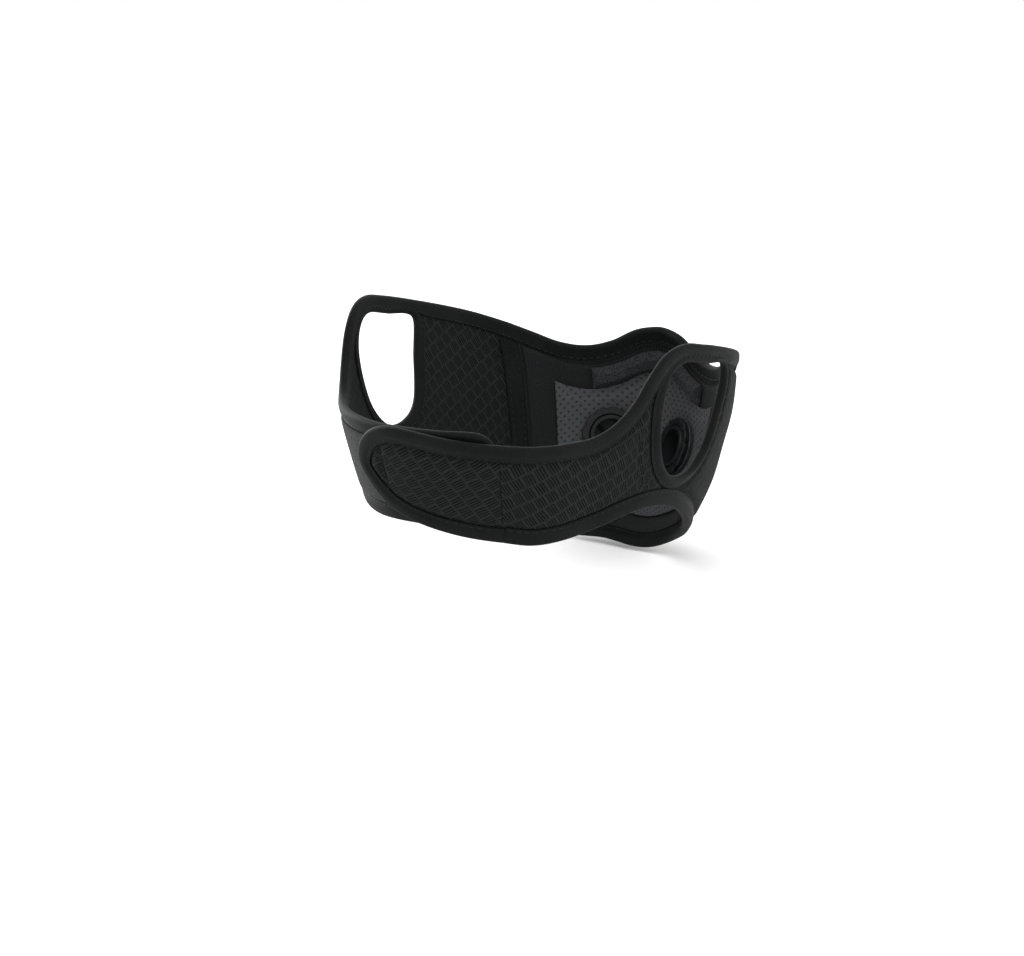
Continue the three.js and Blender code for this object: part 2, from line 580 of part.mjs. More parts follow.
for (const [name, side] of sides) {
  const port = ports[name];
  const below = clothNearPort(name, side, -14, PANEL + GAP);
  const flange = cut(ring(BORE_RADIUS, FLANGE_RADIUS, -4, FLANGE_TOP), below);
  const barrel = ring(BORE_RADIUS, BARREL_RADIUS, BARREL_END, FLANGE_TOP);
  const barLength = 2 * (BORE_RADIUS + 0.6);
  const bars = [[barLength, CROSS_BAR], [CROSS_BAR, barLength]].map(([x, y]) =>
    new THREE.BoxGeometry(x, y, CROSS_BAR).translate(0, 0, FLANGE_TOP - CROSS_BAR));
  const seat = [barrel, ...bars].reduce((solid, piece) => solid.add(manifold(piece)),
    manifold(flange));
  add(`valve_seat_${name}`, fromManifold(seat), plastic, port);
  add(`valve_diaphragm_${name}`, tidy(disc(DIAPHRAGM_RADIUS, capBase, capBase + DIAPHRAGM)),
    rubber, port);
  add(`valve_cap_${name}`, valveCap(), plastic, port);
  const above = clothNearPort(name, side, filterDepth - GAP, 14);
  add(`valve_gasket_${name}`, cut(ring(BARREL_RADIUS + GAP, FLANGE_RADIUS - 0.3,
    -GASKET_DEPTH, 2), above), rubber, port);
  const grips = Array.from({ length: NOTCHES }, (_, i) =>
    new THREE.BoxGeometry(1.6, 2.4, 8).translate(FLANGE_RADIUS, 0, lockTop)
      .rotateZ(i * 2 * Math.PI / NOTCHES));
  add(`lock_ring_${name}`, cut(ring(BARREL_RADIUS + GAP, FLANGE_RADIUS,
    lockTop - RING_HEIGHT, lockTop), ...grips), plastic, port);
}

export default mask;
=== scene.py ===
# A half-face cloth mask in its worn shape: a printed front with two exhaust valves, mesh side
# panels with ear openings, and a hook-and-loop closure behind the neck.
import math

import bpy
import numpy as np
from mathutils import Matrix, Vector


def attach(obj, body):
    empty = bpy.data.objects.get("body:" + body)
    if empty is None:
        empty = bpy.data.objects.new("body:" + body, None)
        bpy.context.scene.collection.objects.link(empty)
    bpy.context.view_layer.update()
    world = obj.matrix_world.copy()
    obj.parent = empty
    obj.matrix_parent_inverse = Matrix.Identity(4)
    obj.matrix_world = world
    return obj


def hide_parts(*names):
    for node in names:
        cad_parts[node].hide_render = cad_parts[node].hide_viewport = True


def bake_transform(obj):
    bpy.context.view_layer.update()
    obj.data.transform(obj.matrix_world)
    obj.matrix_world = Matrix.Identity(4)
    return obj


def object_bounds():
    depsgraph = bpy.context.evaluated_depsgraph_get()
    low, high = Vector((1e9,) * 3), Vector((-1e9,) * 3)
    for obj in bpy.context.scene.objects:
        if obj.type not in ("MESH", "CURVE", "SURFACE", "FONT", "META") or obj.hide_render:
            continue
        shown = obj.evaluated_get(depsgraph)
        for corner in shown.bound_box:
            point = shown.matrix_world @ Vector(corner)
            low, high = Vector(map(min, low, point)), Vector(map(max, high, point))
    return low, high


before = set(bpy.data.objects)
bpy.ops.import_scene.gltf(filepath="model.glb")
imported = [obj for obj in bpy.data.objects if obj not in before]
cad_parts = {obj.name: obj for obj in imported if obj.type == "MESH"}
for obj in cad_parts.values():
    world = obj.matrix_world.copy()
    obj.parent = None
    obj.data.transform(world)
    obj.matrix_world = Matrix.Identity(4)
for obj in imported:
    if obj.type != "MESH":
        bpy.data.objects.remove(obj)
cad_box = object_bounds()

# ---------------------------------------------------------------- front panels
# Two shaped halves of printed jersey over a thin foam, butted and sewn down the middle of the
# face. They carry the camouflage print. Every other cloth piece is sewn to them or laid on them.
HALF_WIDTH = 73.5  # mid-plane to the cloth at the ears, mm
FRONT_REACH = 98  # ear line to the cloth in front of the mouth
BACK_REACH = 92  # ear line to the strap behind the head
RIDGE_SPREAD = 14  # degrees over which the cloth peaks along the nose
PANEL = 2.0  # laminate, full thickness
PRESSED = 1.15  # the same laminate, sewn down
CHEEK_SEAM = 48  # degrees round from the nose
BINDING_ARM = 5.6  # reach of the edge binding over the cloth
VALVE_ANGLE = 18.5
VALVE_HEIGHT = -36
PORT_RADIUS = 9.3

# Height, shares of half width, front reach and back reach, height at the front, pointedness
# in front and behind, height of the nose ridge.
SECTIONS = np.array([
    [-116, 0.520, 0.400, 0.619, -66, 0.10, 0, 0],
    [-100, 0.540, 0.550, 0.639, -68, 0.12, 0, 0],
    [-84, 0.590, 0.690, 0.670, -66, 0.14, 0, 1],
    [-68, 0.670, 0.820, 0.711, -59, 0.14, 0, 3],
    [-50, 0.770, 0.925, 0.763, -48, 0.13, -0.03, 4],
    [-35, 0.847, 0.981, 0.814, -35, 0.12, -0.05, 5],
    [-20, 0.904, 1.000, 0.876, -20, 0.11, -0.05, 6],
    [-5, 0.955, 0.990, 0.938, -5, 0.08, -0.03, 7],
    [15, 1.000, 0.893, 1.000, 15, 0.02, 0, 7],
    [40, 1.013, 0.786, 1.041, 40, 0, 0, 5],
])
# Edges as degrees round and height: under the eyes and over the ear, then along the jaw.
TOP_EDGE = np.array([
    [0, 13], [8, 10.5], [16, 5], [24, 2.5], [32, 4], [40, 9], [48, 14], [60, 20], [80, 27.3],
    [92, 31], [100, 33], [106.5, 30], [111.5, 22], [115.8, 12.5], [121, 5], [126.5, 1.2],
    [133, 0.2], [142, 0], [153, 0.6],
])
BOTTOM_EDGE = np.array([
    [0, -98], [10, -97], [20, -93], [30, -85], [40, -75], [48, -67.5], [60, -57.5], [70, -49.5],
    [81, -40.6], [91, -33.7], [99, -30.7], [107, -30.2], [115, -32.2], [121, -34.8],
    [128, -37], [134, -38.2], [144, -38.8], [153, -37.8],
])


def curve(x, table, column=1):
    """Cubic Hermite through a table's points; each slope is taken across its two neighbours."""
    place, value = table[:, 0], table[:, column]
    before = np.clip(np.arange(len(place)) - 1, 0, None)
    after = np.clip(np.arange(len(place)) + 1, None, len(place) - 1)
    slope = (value[after] - value[before]) / (place[after] - place[before])
    x = np.clip(x, place[0], place[-1])
    k = np.clip(np.searchsorted(place, x, side="right") - 1, 0, len(place) - 2)
    step = place[k + 1] - place[k]
    s = (x - place[k]) / step
    return ((2 * s**3 - 3 * s**2 + 1) * value[k] + (3 * s**2 - 2 * s**3) * value[k + 1]
            + (s**3 - 2 * s**2 + s) * step * slope[k] + (s**3 - s**2) * step * slope[k + 1])


def wrap(a, m):
    """The head-shaped surface. x is the half width times sin a. y is the reach, front or back,
    times cos a, less a share of sin squared that makes it pointed, with a Gaussian ridge down
    the nose. z is the height m, moved towards the height at the front as cos a grows."""
    s, c = np.sin(np.radians(a)), np.cos(np.radians(a))
    width, front, back, level, front_point, back_point, ridge = (
        curve(m, SECTIONS, k) for k in range(1, 8))
    nose = ridge * np.exp(-((a / RIDGE_SPREAD) ** 2))
    y = np.where(c > 0, -FRONT_REACH * front * c * (1 - front_point * s * s) - nose,
                 -BACK_REACH * back * c * (1 - back_point * s * s))
    return np.stack([-HALF_WIDTH * width * s, y, m + (level - m) * np.maximum(c, 0)], -1)


def unit(v):
    return v / np.maximum(np.linalg.norm(v, axis=-1, keepdims=True), 1e-12)


def slopes(a, m, probe=0.01):
    """The surface's change for one degree round and for one millimetre up."""
    return ((wrap(a + probe, m) - wrap(a - probe, m)) / (2 * probe),
            (wrap(a, m + probe) - wrap(a, m - probe)) / (2 * probe))


def outward(a, m):
    round_, up = slopes(a, m)
    return unit(np.cross(up, round_))


def skin(a, m, d):
    """The surface moved d millimetres outwards along its normal."""
    a, m, d = np.broadcast_arrays(a, m, d)
    return wrap(a, m) + outward(a, m) * d[..., None]


def rise(x):
    """0 below 0, 1 above 1, and a smooth step between."""
    x = np.clip(x, 0, 1)
    return x * x * (3 - 2 * x)


def mesh_object(name, points, quads, uv=None, second=None, soft=math.radians(50)):
    """A mesh from points in mm and quads. uv is one place per point, second marks the quads
    that take the second material, and edges sharper than the angle soft are kept crisp."""
    used, quads = np.unique(quads, return_inverse=True)
    quads = quads.reshape(-1, 4)
    mesh = bpy.data.meshes.new(name)
    mesh.vertices.add(len(used))
    mesh.vertices.foreach_set("co", (points.reshape(-1, 3)[used] / 1000).ravel())
    mesh.loops.add(quads.size)
    mesh.loops.foreach_set("vertex_index", quads.ravel())
    mesh.polygons.add(len(quads))
    mesh.polygons.foreach_set("loop_start", np.arange(0, quads.size, 4))
    mesh.polygons.foreach_set("use_smooth", np.ones(len(quads), bool))
    if second is not None:
        mesh.polygons.foreach_set("material_index", second.astype(np.int32))
    if uv is not None:
        layer = mesh.uv_layers.new(name="cut")
        layer.data.foreach_set("uv", uv.reshape(-1, 2)[used][quads.ravel()].ravel())
    mesh.update(calc_edges=True)
    mesh.validate()
    mesh.set_sharp_from_angle(angle=soft)
    piece = bpy.data.objects.new(name, mesh)
    bpy.context.scene.collection.objects.link(piece)
    return piece


def solid(name, inner, outer, keep=None, uv=None, ring=False, **more):
    """A closed sheet between two grids of points. Every kept cell gives an inner and an outer
    quad, and a wall on each side where there is no kept cell. ring joins the last row of the
    grid to its first. Faces are turned so that the outer grid faces away from the inner one."""
    nu, nv = inner.shape[:2]
    index = np.arange(nu * nv).reshape(nu, nv)
    rows = index if ring else index[:-1]
    ahead = np.roll(index, -1, 0)[: len(rows)]
    keep = np.ones((len(rows), nv - 1), bool) if keep is None else keep
    corner = np.stack([rows[:, :-1], ahead[:, :-1], ahead[:, 1:], rows[:, 1:]], -1)
    back, forth = np.roll(keep, 1, 0), np.roll(keep, -1, 0)
    if not ring:
        back[0], forth[-1] = False, False
    below = np.pad(keep, ((0, 0), (1, 0)))[:, :-1]
    above = np.pad(keep, ((0, 0), (0, 1)))[:, 1:]
    top = corner[keep]
    walls = []
    for edge, neighbour in (((0, 1), below), ((1, 2), forth), ((2, 3), above), ((3, 0), back)):
        ends = corner[keep & ~neighbour][:, edge]
        walls.append(np.stack([ends[:, 1] + nu * nv, ends[:, 0] + nu * nv, ends[:, 0],
                               ends[:, 1]], -1))
    quads = np.concatenate([top + nu * nv, top[:, ::-1], *walls])
    points = np.concatenate([inner.reshape(-1, 3), outer.reshape(-1, 3)])
    a, b, c = (points[top[:, k] + nu * nv] for k in (0, 1, 2))
    out = (outer.reshape(-1, 3) - inner.reshape(-1, 3))[top[:, 0]]
    if (np.cross(b - a, c - a) * out).sum() < 0:
        quads = quads[:, ::-1]
    second = np.zeros(len(quads), bool)
    second[len(top): 2 * len(top)] = True
    both = None if uv is None else np.concatenate([uv.reshape(-1, 2)] * 2)
    return mesh_object(name, points, quads, uv=both, second=second, **more)


def cut_plan(a, m):
    """The flat pattern of a grid of cloth: distance along each row from its first column, and up
    each column from its first row, in mm, with the plan's size and area in metres."""
    p = wrap(a, m)
    along = np.linalg.norm(np.diff(p, axis=0), axis=-1)
    up = np.linalg.norm(np.diff(p, axis=1), axis=-1)
    u = np.concatenate([np.zeros((1, a.shape[1])), np.cumsum(along, 0)])
    v = np.concatenate([np.zeros((a.shape[0], 1)), np.cumsum(up, 1)], 1)
    u = np.broadcast_to(u.mean(1, keepdims=True), u.shape)
    size = (along.sum(0).max() / 1000, up.sum(1).max() / 1000)
    side, rise_ = p[1:, :-1] - p[:-1, :-1], p[:-1, 1:] - p[:-1, :-1]
    cells = np.linalg.norm(np.cross(side, rise_), axis=-1) / 1e6
    return np.stack([u, v + m[:, :1]], -1), size, cells


def cloth(name, a_ends, low, high, inner, outer, cell=1.0, keep=None, grain=0.0, **more):
    """A sheet of cloth over the degrees a_ends, from the height low(a) to high(a), between the
    depths inner(a, m, p) and outer(a, m, p), on cells of about the given size in mm. grain is
    the angle at which its pattern piece lies on the bolt, which turns its UV map."""
    length = abs(a_ends[1] - a_ends[0]) * 1.5
    columns = np.linspace(*a_ends, max(3, int(length / cell)))
    height = (high(columns) - low(columns)).max()
    share = np.linspace(0, 1, max(3, int(height / cell)))
    a = np.repeat(columns[:, None], len(share), 1)
    m = low(a) + (high(a) - low(a)) * share
    p = wrap(a, m)
    uv, size, cells = cut_plan(a, m)
    uv = uv @ np.array([[math.cos(grain), math.sin(grain)], [-math.sin(grain), math.cos(grain)]])
    kept = None
    if keep is not None:
        middle = lambda v: (v[1:, 1:] + v[:-1, :-1] + v[1:, :-1] + v[:-1, 1:]) / 4
        kept = keep(middle(a), middle(m), middle(p))
    area = float((cells if kept is None else cells * kept).sum())
    piece = solid(name, skin(a, m, inner(a, m, p)), skin(a, m, outer(a, m, p)), kept, uv, **more)
    return piece, {"flat": size, "area": min(area, 0.999 * size[0] * size[1])}


def nearest(p, path):
    """The distance from each point of p to the nearest point of a path, both in mm."""
    flat = p.reshape(-1, 3)
    best = np.full(len(flat), 1e9)
    for part in np.array_split(path, max(1, len(path) // 60)):
        gap = np.linalg.norm(flat[:, None] - part[None], axis=-1).min(1)
        best = np.minimum(best, gap)
    return best.reshape(p.shape[:-1])


def even_path(a, m, step=1.5, round_off=0, loop=False):
    """A path of places resampled every step mm along the surface, after round_off passes that
    move each point to the mean of itself and its neighbours, so that corners come out round."""
    if loop:
        a, m = np.append(a, a[0]), np.append(m, m[0])
    for _ in range(2):
        run = np.linalg.norm(np.diff(wrap(a, m), axis=0), axis=1)
        total = np.concatenate([[0], np.cumsum(run)])
        at = np.linspace(0, total[-1], int(total[-1] / step) + 1)
        a, m = np.interp(at, total, a), np.interp(at, total, m)
        for _ in range(round_off):
            if loop:
                a[:-1] = (np.roll(a[:-1], 1) + a[:-1] + np.roll(a[:-1], -1)) / 3
                m[:-1] = (np.roll(m[:-1], 1) + m[:-1] + np.roll(m[:-1], -1)) / 3
                a[-1], m[-1] = a[0], m[0]
            else:
                a[1:-1] = (a[:-2] + a[1:-1] + a[2:]) / 3
                m[1:-1] = (m[:-2] + m[1:-1] + m[2:]) / 3
    return (a[:-1], m[:-1]) if loop else (a, m)


def folds(a, m, size):
    """Soft unevenness of sewn cloth: four sine waves of unlike length and direction, in mm."""
    x, y = a * 1.5, m
    return size * (0.45 * np.sin(x / 9.1 + y / 14.3 + 0.7) + 0.3 * np.sin(x / 5.3 - y / 7.9)
                   + 0.25 * np.sin(x / 17.0 - y / 4.9 + 2.1) + 0.2 * np.sin(x / 3.7 + y / 5.9))


# The hypotenuse with 1.5 degrees rounds the edges off where the two halves meet at the nose.
top_edge = lambda a: curve(np.hypot(a, 1.5), TOP_EDGE)
bottom_edge = lambda a: curve(np.hypot(a, 1.5), BOTTOM_EDGE)
SIDES = (("right", 1), ("left", -1))
port = {}
for name, side in SIDES:
    spot = np.array(side * VALVE_ANGLE), np.array(float(VALVE_HEIGHT))
    axis = outward(*spot)
    turn = np.array(Vector((0, 0, 1)).rotation_difference(Vector(axis)).to_matrix())
    port[name] = {"at": skin(*spot, 0), "axis": axis, "turn": turn}

# The direction across each cheek seam along the cloth, turned to point backwards.
for name, side in SIDES:
    a = np.array([side * CHEEK_SEAM] * 3, float)
    seam = wrap(a, np.array([14.0, -26, -67]))
    across = unit(np.cross(seam[0] - seam[2], outward(a[1], np.array(-26.0))))
    across = across * np.sign(across[1])


def from_port(p, name):
    """The distance of each point from the axis of a valve."""
    away = p - port[name]["at"]
    along = (away @ port[name]["axis"])[..., None] * port[name]["axis"]
    return np.linalg.norm(away - along, axis=-1)


def linear(hex_value):
    """An sRGB hex colour as linear light with full cover."""
    parts = [int(hex_value[k:k + 2], 16) / 255 for k in (1, 3, 5)]
    return [c / 12.92 if c <= 0.04045 else ((c + 0.055) / 1.055) ** 2.4 for c in parts] + [1]


def node(tree, kind, inputs=None, out=0, **settings):
    """Adds a node, sets its properties, and sets or links each input. Gives one output."""
    made = tree.nodes.new("ShaderNode" + kind)
    for key, value in settings.items():
        setattr(made, key, value)
    for key, value in (inputs or {}).items():
        if isinstance(value, bpy.types.NodeSocket):
            tree.links.new(value, made.inputs[key])
        else:
            made.inputs[key].default_value = value
    return made.outputs[out]


def surface(name, colour=None, **sockets):
    """A new material with its shader's own sockets set. Gives it, its tree and its shader."""
    made = bpy.data.materials.new(name)
    made.use_nodes = True
    tree = made.node_tree
    shader = tree.nodes["Principled BSDF"]
    if colour:
        shader.inputs["Base Color"].default_value = linear(colour)
    for key, value in sockets.items():
        shader.inputs[key.replace("_", " ").title().replace("Ior", "IOR")].default_value = value
    return made, tree, shader


def relief(tree, shader, height, distance, strength=1.0):
    """Bump from a height from 0 to 1 that stands for the given distance in mm."""
    normal = node(tree, "Bump", {"Height": height, "Distance": distance / 1000,
                                 "Strength": strength})
    tree.links.new(normal, shader.inputs["Normal"])


def dress(piece, *materials):
    for each in materials:
        piece.data.materials.append(each)
    return piece


def printed_jersey():
    """Polyester jersey, heat-printed in flat patches: four dull colours whose borders are
    level lines of two stretched noises, over knit ribs 0.9 mm apart and a little fluff. The
    print has no gloss, and the ribs catch light in fine rows."""
    made, tree, shader = surface("printed polyester jersey", roughness=0.9, sheen_weight=0.03,
                                 sheen_roughness=0.45, specular_ior_level=0.12)
    place = node(tree, "TexCoord", out="Object")
    wide = node(tree, "Mapping", {"Vector": place, "Scale": (26, 34, 52)})
    tall = node(tree, "Mapping", {"Vector": place, "Scale": (44, 38, 70),
                                  "Location": (3.1, 7.7, 1.9)})
    blot = node(tree, "TexNoise", {"Vector": wide, "Scale": 1.0, "Detail": 3.5,
                                   "Roughness": 0.52, "Distortion": 0.9})
    fleck = node(tree, "TexNoise", {"Vector": tall, "Scale": 1.0, "Detail": 4.5,
                                    "Roughness": 0.6, "Distortion": 0.6})
    colour = linear("#2f3227")
    for source, level, hex_value in ((blot, 0.47, "#1d1f1c"), (fleck, 0.57, "#474638"),
                                     (blot, 0.57, "#282a21"), (fleck, 0.64, "#121312")):
        over = node(tree, "Math", {0: source, 1: level}, operation="SUBTRACT")
        over = node(tree, "Math", {0: over, 1: 90.0}, operation="MULTIPLY", use_clamp=True)
        colour = mixed(tree, over, colour, linear(hex_value))
    plan = node(tree, "TexCoord", out="UV")
    ribs = node(tree, "TexWave", {"Vector": plan, "Scale": 1 / 0.9 / 3.2, "Distortion": 0.4,
                                  "Detail": 1.0}, wave_type="BANDS", bands_direction="X")
    fluff = node(tree, "TexNoise", {"Vector": place, "Scale": 2600.0, "Detail": 2.0})
    height = node(tree, "Math", {0: ribs, 1: fluff}, operation="ADD")
    shade = node(tree, "MapRange", {"Value": height, "From Min": 0.3, "From Max": 1.7,
                                    "To Min": 0.72, "To Max": 1.15})
    tree.links.new(mixed(tree, 1.0, colour, shade, "MULTIPLY"), shader.inputs["Base Color"])
    relief(tree, shader, height, 0.12)
    return made


def mixed(tree, factor, first, second, how="MIX"):
    """Mixes two colours by the given way."""
    made = tree.nodes.new("ShaderNodeMix")
    made.data_type = "RGBA"
    made.blend_type = how
    for slot_, value in ((0, factor), (6, first), (7, second)):
        if isinstance(value, bpy.types.NodeSocket):
            tree.links.new(value, made.inputs[slot_])
        else:
            made.inputs[slot_].default_value = value
    return made.outputs[2]


def knit_lining():
    """Brushed polyester knit, dyed dark grey: wales 1.1 mm apart in short V stitches. It is
    soft and dull with a faint halo of fibre ends."""
    made, tree, shader = surface("brushed knit lining", roughness=0.94, sheen_weight=0.03,
                                 sheen_roughness=0.5, specular_ior_level=0.1)
    plan = node(tree, "TexCoord", out="UV")
    split = node(tree, "SeparateXYZ", {"Vector": plan}, out="X")
    up = node(tree, "SeparateXYZ", {"Vector": plan}, out="Y")
    wale = node(tree, "Math", {0: split, 1: 0.55}, operation="PINGPONG")
    lean = node(tree, "Math", {0: up, 1: wale}, operation="ADD")
    course = node(tree, "Math", {0: lean, 1: 0.45}, operation="PINGPONG")
    height = node(tree, "Math", {0: wale, 1: course}, operation="MULTIPLY")
    height = node(tree, "Math", {0: height, 1: 4.0}, operation="MULTIPLY", use_clamp=True)
    fluff = node(tree, "TexNoise", {"Vector": plan, "Scale": 1.9, "Detail": 3.0})
    height = node(tree, "Math", {0: height, 1: fluff}, operation="ADD")
    shade = node(tree, "MapRange", {"Value": height, "From Min": 0.3, "From Max": 1.5})
    tree.links.new(mixed(tree, shade, linear("#0f1010"), linear("#232425")),
                   shader.inputs["Base Color"])
    relief(tree, shader, height, 0.22)
    return made


jersey, lining_knit = printed_jersey(), knit_lining()


def front_thickness(a, m, p):
    """The laminate, pressed thin along its edges, its seams and round the valve flanges."""
    edge = np.minimum(top_edge(a) - m, m - bottom_edge(a))
    full = PANEL + 0.1 + folds(a, m, 0.12)
    seam = np.minimum(np.abs(a), CHEEK_SEAM - np.abs(a)) * 1.5
    flange = np.minimum(from_port(p, "right"), from_port(p, "left"))
    loft = (rise((edge - BINDING_ARM + 0.4) / 3.2) * rise((seam + 0.2) / 3)
            * rise((flange - 12.6) / 3))
    return PRESSED + (full - PRESSED) * loft


on_panel = {}
for name, side in SIDES:
    panel, cut = cloth(
        f"front_panel_{name}", (0, side * CHEEK_SEAM),
        lambda a: bottom_edge(a) + 0.5, lambda a: top_edge(a) - 0.5,
        lambda a, m, p: 0 * a, front_thickness, cell=0.95,
        keep=lambda a, m, p, name=name: from_port(p, name) > PORT_RADIUS + 0.6)
    dress(panel, jersey, lining_knit)
    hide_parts(f"cup_panel_{name}")
    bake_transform(panel)
    on_panel[f"front_{name}"] = (panel, cut, [])

# ---------------------------------------------------------------- front lining
# A second, softer layer inside the front, sewn to it round its own hem. It leaves the edge
# binding free, and it stops short of the cheek seam.
HEM = BINDING_ARM + 2.1
LINING = 1.2
LINING_SPREAD = 44  # degrees round to its side hem
GAP = 0.3


def lining_inner(a, m, p):
    edge = np.minimum(top_edge(a) - m, m - bottom_edge(a)) - HEM
    seam = np.minimum(np.abs(a), LINING_SPREAD - np.abs(a)) * 1.5
    loft = rise(edge / 2.6 + 0.25) * rise(seam / 2.6 + 0.25)
    return -GAP - LINING * (0.35 + 0.65 * loft) + folds(a, m, 0.08) * loft


def stitch_row(name, a, m, d, inset=0.0, pitch=3.0, length=2.1, thread=0.21, loop=False):
    """A row of stitches beside a path: each is a thread of square section on four stations,
    its ends drawn down into the cloth. inset is how far in from the path the row lies."""
    fine_a, fine_m = even_path(a, m, 0.5, loop=loop)
    if loop:
        fine_a, fine_m = np.append(fine_a, fine_a[0]), np.append(fine_m, fine_m[0])
    run = np.concatenate([[0], np.cumsum(np.linalg.norm(np.diff(wrap(fine_a, fine_m), axis=0),
                                                        axis=1))])
    da, dm = inward_steps(fine_a, fine_m)
    count = int((run[-1] - length) / pitch)
    at = (np.arange(count)[:, None] * pitch + pitch / 2
          + np.array([-0.5, -0.28, 0.28, 0.5]) * length)
    sink = np.array([-0.3, 0.1, 0.1, -0.3])[None, :, None]
    side = np.array([1, 0, -1, 0]) * thread
    above = np.array([0, 1, 0, -1]) * thread
    get = lambda v: np.interp(at, run, v)[..., None]
    depth = d if np.isscalar(d) else np.interp(at, np.linspace(0, run[-1], len(d)), d)[..., None]
    out = np.sign(np.mean(d) - 0.6)
    across = inset + side
    points = skin(get(fine_a) + get(da) * across, get(fine_m) + get(dm) * across,
                  depth + out * (sink + above))
    index = np.arange(count * 16).reshape(count, 4, 4)
    ahead = np.roll(index, -1, 2)
    walls = np.stack([index[:, :-1], ahead[:, :-1], ahead[:, 1:], index[:, 1:]], -1)
    caps = np.concatenate([index[:, 0, ::-1], index[:, -1]])
    quads = np.concatenate([walls.reshape(-1, 4), caps])
    flat = points.reshape(-1, 3)
    centre = np.repeat(points.mean((1, 2)), 12, 0)
    p, q, r = (flat[walls.reshape(-1, 4)[:, k]] for k in range(3))
    if (np.cross(q - p, r - p) * (p - centre)).sum() < 0:
        quads = quads[:, ::-1]
    return mesh_object(name, points, quads)


def inward_steps(a, m, loop=False):
    """For each place of a path, the change of a and of m for one mm to the left of the way it
    runs, seen from outside. It solves for the two surface slopes that give that direction."""
    if loop:
        ahead_a, ahead_m = np.roll(a, -1) - np.roll(a, 1), np.roll(m, -1) - np.roll(m, 1)
    else:
        ahead_a, ahead_m = np.gradient(a), np.gradient(m)
    along, up = slopes(a, m)
    forward = unit(along * ahead_a[:, None] + up * ahead_m[:, None])
    inward = np.cross(outward(a, m), forward)
    aa, am, mm = ((along * along).sum(-1), (along * up).sum(-1), (up * up).sum(-1))
    ia, im = (inward * along).sum(-1), (inward * up).sum(-1)
    scale = aa * mm - am * am
    return (ia * mm - im * am) / scale, (im * aa - ia * am) / scale


def sewing_thread():
    """Bonded polyester sewing thread, black, slightly waxy, so it catches thin lights."""
    made, tree, shader = surface("bonded polyester thread", "#151616", roughness=0.6,
                                 specular_ior_level=0.15)
    place = node(tree, "TexCoord", out="Object")
    ply = node(tree, "TexNoise", {"Vector": place, "Scale": 3000.0, "Detail": 1.0})
    tree.links.new(mixed(tree, ply, linear("#0b0c0c"), linear("#1d1f1f")),
                   shader.inputs["Base Color"])
    relief(tree, shader, ply, 0.05)
    return made


thread = sewing_thread()
for name, side in SIDES:
    lining, cut = cloth(
        f"lining_{name}", (0, side * LINING_SPREAD), lambda a: bottom_edge(a) + HEM,
        lambda a: top_edge(a) - HEM, lining_inner, lambda a, m, p: 0 * a - GAP, cell=1.1,
        keep=lambda a, m, p, name=name: from_port(p, name) > PORT_RADIUS + 0.6)
    # Its inner grid is the one that is seen, so that grid takes the knit.
    dress(lining, lining_knit, lining_knit)
    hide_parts(f"cup_lining_{name}")
    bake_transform(lining)
    seen = side * np.linspace(0.8, 43, 80)
    hem = []
    for row, height in (("top", top_edge(seen) - HEM), ("bottom", bottom_edge(seen) + HEM)):
        inset = side * (1.4 if row == "top" else -1.4)
        hem.append(dress(stitch_row(f"lining_stitches_{row}_{name}", seen, height,
                                    -0.86, inset), thread))
        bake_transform(hem[-1])

# ---------------------------------------------------------------- cheek seam tapes
# A narrow tape inside each cheek seam. It covers the turned edges of the front and the side
# panel, and two rows of stitches hold it.
TAPE = 0.6
SEAM_ALLOWANCE = 0.9


def binding_tape():
    """Knitted nylon-elastane binding, black: fine ribs across the tape 0.8 mm apart and a soft
    sheen, so its folded edge shows as a pale line against the dull mesh."""
    made, tree, shader = surface("knitted elastic binding", roughness=0.72, sheen_weight=0.012,
                                 sheen_roughness=0.3, specular_ior_level=0.1)
    plan = node(tree, "TexCoord", out="UV")
    rib = node(tree, "TexWave", {"Vector": plan, "Scale": 1 / 0.8 / 3.2, "Distortion": 0.8,
                                 "Detail": 1.5}, wave_type="BANDS", bands_direction="X")
    grain = node(tree, "TexNoise", {"Vector": plan, "Scale": 1.3, "Detail": 4.0})
    height = node(tree, "Math", {0: rib, 1: 0.5, 2: grain}, operation="MULTIPLY_ADD")
    wide = node(tree, "TexNoise", {"Vector": plan, "Scale": 0.06, "Detail": 2.0})
    shade = node(tree, "Math", {0: grain, 1: wide}, operation="MULTIPLY")
    shade = node(tree, "MapRange", {"Value": shade, "From Min": 0.15, "From Max": 0.4})
    tree.links.new(mixed(tree, shade, linear("#070808"), linear("#101211")),
                   shader.inputs["Base Color"])
    relief(tree, shader, height, 0.07)
    return made


binding_knit = binding_tape()
for name, side in SIDES:
    tape, cut = cloth(
        f"seam_tape_{name}", (side * (CHEEK_SEAM - 2.6), side * (CHEEK_SEAM + 2.6)),
        lambda a: bottom_edge(a) + HEM, lambda a: top_edge(a) - HEM,
        lambda a, m, p: -SEAM_ALLOWANCE - TAPE * (0.6 + 0.4 * rise((2.6 - np.abs(
            np.abs(a) - CHEEK_SEAM)) / 0.9)),
        lambda a, m, p: 0 * a - SEAM_ALLOWANCE + 0.05, cell=0.7)
    dress(tape, binding_knit, binding_knit)
    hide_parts(f"cheek_seam_tape_{name}")
    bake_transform(tape)
    rows = []
    for way in (-1.7, 1.7):
        tall = np.linspace(bottom_edge(CHEEK_SEAM) + HEM, top_edge(CHEEK_SEAM) - HEM, 60)
        rows.append(dress(stitch_row(f"seam_tape_stitches_{'out' if way > 0 else 'in'}_{name}",
                                     0 * tall + side * (CHEEK_SEAM + way), tall, -1.5), thread))
        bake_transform(rows[-1])
    on_panel[f"front_{name}"][2].extend([tape, *rows])

